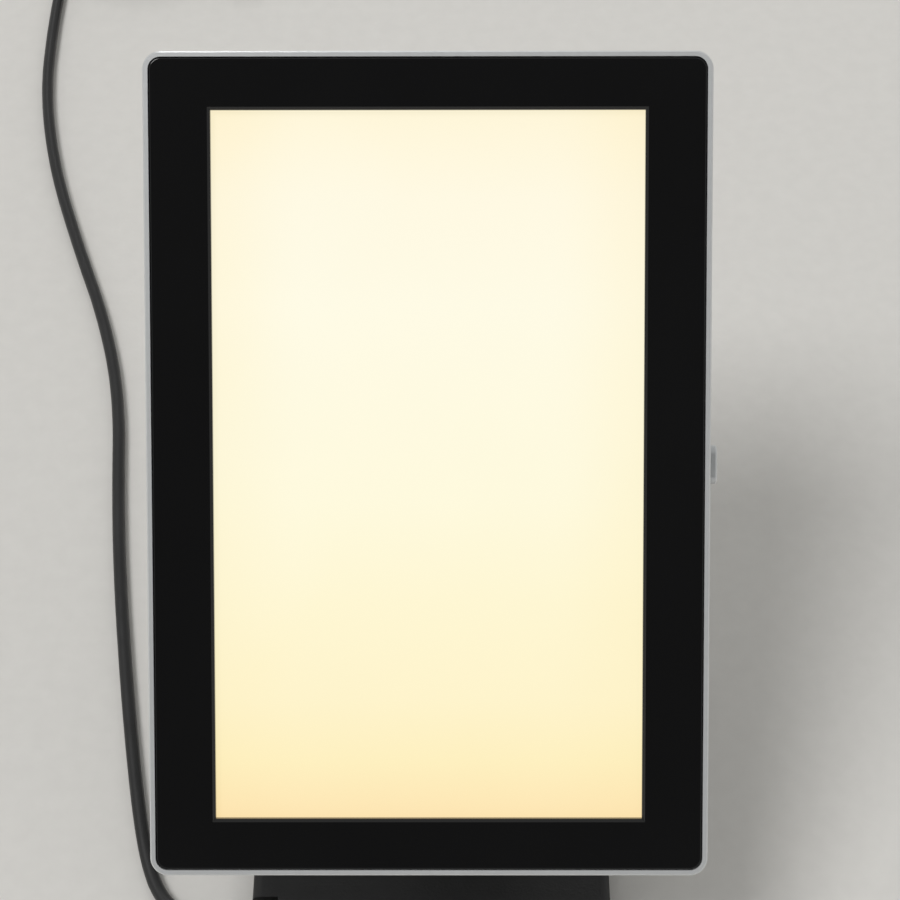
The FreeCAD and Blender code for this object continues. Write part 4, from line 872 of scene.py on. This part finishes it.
def cut_out(mesh, cutter):
    """The mesh less the cutter, both in millimetres."""
    solids = [bpy.data.objects.new(m.name, m) for m in (mesh, cutter)]
    for solid in solids:
        bpy.context.scene.collection.objects.link(solid)
    modifier = solids[0].modifiers.new("cut", "BOOLEAN")
    modifier.operation = "DIFFERENCE"
    modifier.solver = "EXACT"
    modifier.object = solids[1]
    bpy.context.view_layer.update()
    view = bpy.context.evaluated_depsgraph_get()
    result = bpy.data.meshes.new_from_object(solids[0].evaluated_get(view))
    for solid in solids:
        bpy.data.objects.remove(solid)
    return result


def placed(mesh, places, name):
    """Copies of a mesh, one at each place, as one mesh."""
    shape = bmesh.new()
    for place in places:
        copy = mesh.copy()
        copy.transform(place)
        shape.from_mesh(copy)
        bpy.data.meshes.remove(copy)
    return mesh_of(shape, name)


def add_piece(mesh, name, finish, body, stands_for=(), crease=30.0):
    """Shows a mesh drawn in millimetres as a piece of the lamp."""
    mesh.transform(Matrix.Scale(MM, 4))
    mesh.shade_smooth()
    mesh.set_sharp_from_angle(angle=math.radians(crease))
    mesh.materials.clear()
    mesh.materials.append(finish)
    piece = bpy.data.objects.new(name, mesh)
    bpy.context.scene.collection.objects.link(piece)
    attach(piece, body)
    if stands_for:
        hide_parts(*stands_for)
    return piece


# ---------------------------------------------------------------- lead, coil and plug


def coil_stages():
    """The coil's winding as (degrees, radius at its end, height at its end): two and a half turns
    in to the middle on the table, a climb, and about as many out again on top of them."""
    inner = COIL_INNER
    middle = inner + COIL_PITCH
    outer = middle + COIL_PITCH
    return [
        (270.0, outer, COIL_LOW),
        (90.0, middle, COIL_LOW),
        (270.0, middle, COIL_LOW),
        (90.0, inner, COIL_LOW),
        (180.0, inner, COIL_LOW),
        (90.0, inner, COIL_HIGH),
        (180.0, inner, COIL_HIGH),
        (90.0, middle, COIL_HIGH),
        (270.0, middle, COIL_HIGH),
        (90.0, outer, COIL_HIGH),
        (247.5, outer, COIL_HIGH),
    ]


def coil_points():
    """The coil's turns, clockwise from above, from its left side. The control points stand out
    a little, because the curve passes inside them."""
    outset = 1 / math.cos(math.radians(COIL_STEP) / 2)
    angle = 180.0
    radius, height = COIL_INNER + 2 * COIL_PITCH, COIL_LOW
    points = []
    for sweep, radius_then, height_then in coil_stages():
        steps = round(sweep / COIL_STEP)
        for i in range(steps):
            share = i / steps
            now = radius + (radius_then - radius) * share
            turn = math.radians(angle - sweep * share)
            x = COIL_CENTRE[0] + now * outset * math.cos(turn)
            y = COIL_CENTRE[1] + now * outset * math.sin(turn)
            points.append((x, y, height + (height_then - height) * share))
        angle -= sweep
        radius, height = radius_then, height_then
    return points


def make_lead():
    """The free lead in its black jacket: from the sleeve, round behind the lamp, into the coil."""
    line = bpy.data.curves.new("free_lead", "CURVE")
    line.dimensions = "3D"
    line.bevel_depth = LEAD_DIAMETER / 2 * MM
    line.bevel_resolution = 5
    line.resolution_u = 10
    line.use_fill_caps = True
    route = LEAD_ROUTE + coil_points() + TAIL_ROUTE
    spline = line.splines.new("NURBS")
    spline.points.add(len(route) - 1)
    for spot, point in zip(spline.points, route):
        spot.co = (*metres(point), 1.0)
    spline.order_u = 3
    spline.use_endpoint_u = True
    line.materials.append(black_pvc_jacket())
    lead = bpy.data.objects.new("free_lead", line)
    bpy.context.scene.collection.objects.link(lead)
    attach(lead, "stand")
    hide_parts("lead", "lead_coil", "lead_tail")
    return lead


def make_sleeve():
    """The strain relief: a tapered sleeve with ring grooves that let it bend."""
    profile = list(SLEEVE_COLLAR)
    for i in range(GROOVE_COUNT):
        start = GROOVE_FIRST + GROOVE_PITCH * i
        radius = GROOVE_RADIUS - GROOVE_TAPER * i
        profile += [(radius + change, start + along) for change, along in GROOVE]
    profile += SLEEVE_TIP
    mesh = mesh_of(turned(profile, steps=48, hollow=True), "lead_sleeve")
    mesh.transform(Matrix.Translation(SLEEVE_ROOT) @ across((-1.0, 0.0, 0.0)))
    finish = black_pvc_jacket()
    add_piece(mesh, "lead_sleeve", finish, "stand", ["strain_relief"])


def grip_mesh(level):
    """The plug's grip: a round neck that grows to a flat body with finger grooves."""
    sections = list(GRIP_NECK)
    for i in range(VALLEY_COUNT):
        start = VALLEY_FIRST + VALLEY_PITCH * i
        sections += [(start + along, *size) for along, size in VALLEY]
    sections += [(GRIP_LENGTH - GRIP_ROUNDING, *GRIP_FULL), (GRIP_LENGTH, *GRIP_END)]
    rings = [rounded_section(x, level, *size) for x, *size in sections]
    return mesh_of(add_skin(bmesh.new(), rings), "plug_boot")


def shell_mesh(level):
    """The plug's stamped shell, open at its end, with two square windows above and below."""
    near, far = GRIP_LENGTH, GRIP_LENGTH + SHELL_LENGTH
    outer = (SHELL_HALF_WIDTH, SHELL_HALF_HEIGHT)
    inner = (SHELL_HALF_WIDTH - SHELL_WALL, SHELL_HALF_HEIGHT - SHELL_WALL)
    rings = [
        rounded_section(x, level, *size, SHELL_SQUARENESS)
        for x, size in ((near, outer), (far, outer), (far, inner), (near, inner))
    ]
    shell = mesh_of(add_skin(bmesh.new(), rings, hollow=True), "plug_can")
    windows = bmesh.new()
    for side in (-1, 1):
        middle = (near + SHELL_WINDOW_ALONG, side * SHELL_WINDOW_ACROSS, level)
        add_block(windows, middle, SHELL_WINDOW)
    return cut_out(shell, mesh_of(windows, "windows"))


def contact_mesh(level):
    """The plug's contacts: thin strips on its tongue."""
    tongue_top = level - SHELL_HALF_HEIGHT + SHELL_WALL + TONGUE_THICKNESS
    height = tongue_top + CONTACT_DEPTH / 2
    strips = bmesh.new()
    for aside, reach in CONTACTS:
        middle = (GRIP_LENGTH + CONTACT_START + reach / 2, aside, height)
        add_block(strips, middle, (reach, CONTACT_WIDTH, CONTACT_DEPTH))
    bmesh.ops.bevel(
        strips, geom=strips.edges[:], offset=CONTACT_EDGE, segments=2, affect="EDGES"
    )
    return mesh_of(strips, "plug_contacts")


def make_plug():
    """The flat plug at the lead's end, in line with its tail."""
    end, before = TAIL_ROUTE[-1], TAIL_ROUTE[-2]
    heading = math.atan2(end[1] - before[1], end[0] - before[0])
    place = Matrix.Translation((end[0], end[1], 0.0)) @ Matrix.Rotation(heading, 4, "Z")
    level = end[2]
    grip, shell, contacts = grip_mesh(level), shell_mesh(level), contact_mesh(level)
    for mesh in (grip, shell, contacts):
        mesh.transform(place)
    jacket, nickel, gold = black_pvc_jacket(), nickel_plated_shell(), gold_flash()
    return [
        add_piece(grip, "plug_boot", jacket, "stand", ["plug_grip"], crease=50.0),
        add_piece(shell, "plug_can", nickel, "stand", ["plug_shell"]),
        add_piece(contacts, "plug_contacts", gold, "stand"),
    ]


def strap_line():
    """The strap's inner line, up, over the coil with two soft bends and down, as (x, z)."""
    (left, right), (low, high) = TIE_SIDES, TIE_LEVELS
    line = [(left, low)]
    for centre, start in ((left + TIE_BEND, 180.0), (right - TIE_BEND, 90.0)):
        for i in range(TIE_BEND_STEPS + 1):
            angle = math.radians(start - 90.0 * i / TIE_BEND_STEPS)
            x = centre + TIE_BEND * math.cos(angle)
            line.append((x, high - TIE_BEND + TIE_BEND * math.sin(angle)))
    return line + [(right, low)]


def strap_ring(near, out):
    """A ring of the strap from its inner side outwards, with softened edges."""
    far = near + out * TIE_THICKNESS
    side = Vector((0.0, TIE_HALF_WIDTH, 0.0))
    soft = Vector((0.0, TIE_HALF_WIDTH - TIE_SOFT_WIDTH, 0.0))
    ease = out * TIE_SOFT_DEPTH
    return [
        near - soft, near + soft, near + side + ease, far + side - ease,
        far + soft, far - soft, far - side - ease, near - side + ease,
    ]


def strap_rings():
    """Rings along the strap."""
    line = strap_line()
    rings = []
    for i, (x, z) in enumerate(line):
        before, after = line[max(i - 1, 0)], line[min(i + 1, len(line) - 1)]
        along = Vector((after[0] - before[0], 0.0, after[1] - before[1])).normalized()
        out = Vector((-along.z, 0.0, along.x))
        rings.append(strap_ring(Vector((x, TIE_MIDDLE, z)), out))
    return rings


def loose_end_rings():
    """Rings along the strap's loose end, which bulges a little and narrows to its tip."""
    rings = []
    for i in range(END_STEPS + 1):
        share = i / END_STEPS
        x = END_START + END_LENGTH * share
        low = TIE_LEVELS[1] + TIE_THICKNESS + END_GAP + END_BULGE * math.sin(math.pi * share)
        high = low + END_THICKNESS
        tip = max(share - END_NARROWS_FROM, 0.0) / (1.0 - END_NARROWS_FROM)
        half = TIE_HALF_WIDTH - END_NARROWING * tip
        left, right = TIE_MIDDLE - half, TIE_MIDDLE + half
        rings.append([(x, left, low), (x, right, low), (x, right, high), (x, left, high)])
    return rings


def make_tie():
    """The strap round the coil: soft tape bent over it, with its loose end lying on top."""
    shape = add_skin(bmesh.new(), strap_rings())
    add_skin(shape, loose_end_rings())
    mesh = mesh_of(shape, "tie_strap")
    return add_piece(mesh, "tie_strap", woven_hook_tape(), "stand", ["lead_tie"])


# ---------------------------------------------------------------- screws, hinge and button


def cross_screw(length):
    """A pan-head screw with a tapered cross recess, head at z = 0 and its shank along +Z."""
    end = SCREW_HEAD_DEPTH + length
    profile = SCREW_HEAD + [
        (SCREW_SHANK, SCREW_HEAD_DEPTH), (SCREW_SHANK, end - SCREW_TAPER), (SCREW_TIP, end),
    ]
    blank = mesh_of(turned(profile, steps=36), "screw")
    rings = []
    for depth, reach, half in RECESS:
        corner = [(reach, -half), (reach, half), (half, half)]
        ring = []
        for quarter in range(4):
            turn = Matrix.Rotation(quarter * math.pi / 2, 2)
            ring += [(*(turn @ Vector(spot)), depth) for spot in corner]
        rings.append(ring)
    return cut_out(blank, mesh_of(add_skin(bmesh.new(), rings), "recess"))


def screw_place(x, y, level):
    """Where a screw sits, with its recess turned as it happened to stop."""
    return Matrix.Translation((x, y, level)) @ Matrix.Rotation(0.5 * x + y, 4, "Z")


def make_panel_screws(finish):
    """The eight screws that close the panel."""
    places = [
        PANEL @ screw_place(side * PANEL_SCREW_ACROSS, end * up, PANEL_SCREW_LEVEL)
        for side in (-1, 1) for end in (-1, 1) for up in PANEL_SCREW_ROWS
    ]
    mesh = placed(cross_screw(PANEL_SCREW_LENGTH), places, "panel_cross_screws")
    add_piece(mesh, "panel_cross_screws", finish, "head", ["housing_screws"])


def make_bracket_screws(finish):
    """The four screws that hold the hinge's bracket."""
    rows = (HINGE_UP - BRACKET_SCREW_UP, HINGE_UP + BRACKET_SCREW_UP)
    places = [
        PANEL @ screw_place(side * BRACKET_SCREW_ACROSS, up, BRACKET_SCREW_LEVEL)
        for side in (-1, 1) for up in rows
    ]
    mesh = placed(cross_screw(BRACKET_SCREW_LENGTH), places, "bracket_cross_screws")
    add_piece(mesh, "bracket_cross_screws", finish, "head", ["bracket_screws"])


def make_base_screws(finish):
    """The four screws under the base."""
    places = [
        screw_place(side * BASE_SCREW_ACROSS, y, BASE_SCREW_LEVEL)
        for side in (-1, 1) for y in BASE_SCREW_ROWS
    ]
    mesh = placed(cross_screw(BASE_SCREW_LENGTH), places, "base_cross_screws")
    add_piece(mesh, "base_cross_screws", finish, "stand", ["base_screws"])


def make_hinge_caps():
    """The caps on the hinge's pin heads: softly rounded cups with a dished face."""
    axis = Matrix.Translation(PANEL @ Vector((0.0, HINGE_UP, -HINGE_BACK)))
    seat = Matrix.Translation((0.0, 0.0, CAP_SEAT))
    places = [axis @ across((side, 0.0, 0.0)) @ seat for side in (-1, 1)]
    cup = mesh_of(turned(CAP_LINE, steps=64, hollow=True), "cap")
    pair = placed(cup, places, "hinge_cap_pair")
    add_piece(pair, "hinge_cap_pair", satin_black_abs(), "head", ["hinge_caps"])


def make_button_pip():
    """A small domed pip in the middle of the button, to find it by touch."""
    angles = [math.pi / 2 * i / PIP_STEPS for i in range(PIP_STEPS)]
    dome = [(PIP_RADIUS * math.cos(angle), PIP_RISE * math.sin(angle)) for angle in angles]
    profile = [(PIP_RADIUS, PIP_ROOT), *dome, (PIP_MIDDLE, PIP_RISE)]
    middle = PANEL @ Vector((BUTTON_FACE, 0.0, BUTTON_LEVEL))
    mesh = mesh_of(turned(profile, steps=32), "button_pip")
    mesh.transform(Matrix.Translation(middle) @ across((1.0, 0.0, 0.0)))
    add_piece(mesh, "button_pip", satin_chrome_plate(), "button")


# ---------------------------------------------------------------- finishes on the solids

FINISHES = [
    (satin_silver_paint, ["rear_housing"]),
    (piano_black_abs, ["front_frame"]),
    (satin_black_abs, ["button_guide"]),
    (satin_chrome_plate, ["power_button"]),
    (lit_opal_acrylic, ["diffuser"]),
    (foam_rubber, ["window_gasket"]),
    (prism_film, ["diffuser_film"]),
    (dotted_acrylic, ["light_guide"]),
    (white_foamed_pet, ["reflector_sheet"]),
    (mill_aluminium, ["heat_spreader"]),
    (white_solder_mask, ["led_strip_left", "led_strip_right"]),
    (phosphor_resin, ["leds_left", "leds_right"]),
    (green_circuit_board, ["driver_board", "switch_board"]),
    (zinc_plated_steel, ["board_screws", "clamp_screws", "arm_screws"]),
    (wound_ferrite, ["choke"]),
    (sleeved_aluminium_can, ["capacitors"]),
    (black_epoxy, ["driver_chips", "push_switch"]),
    (natural_nylon, ["wire_sockets", "plug_tongue", "hinge_washers"]),
    (pvc_wire, ["led_wires"]),
    (black_powder_coat, ["hinge_bracket"]),
    (galvanised_sheet, ["backing_plate"]),
    (turned_stainless, ["hinge_pins"]),
    (etched_black_abs, ["arm", "arm_cover", "base_cover"]),
    (plain_black_abs, ["base_bottom", "cord_clamp"]),
    (moulded_silicone, ["rubber_mat"]),
    (cast_iron, ["base_weight"]),
    (black_pvc_jacket, ["lead_in_head", "lead_in_arm", "lead_in_base"]),
]


def finish_solids():
    """Gives each solid of the frame its finish."""
    for make_finish, names in FINISHES:
        finish = make_finish()
        for name in names:
            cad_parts[name].material_slots[0].material = finish


make_camera()
lead = make_lead()
make_sleeve()
tie = make_tie()
plug = make_plug()
make_floor()
make_lamps()
make_room()
screw_finish = zinc_plated_steel()
make_panel_screws(screw_finish)
make_bracket_screws(screw_finish)
make_base_screws(screw_finish)
make_hinge_caps()
make_button_pip()
finish_solids()
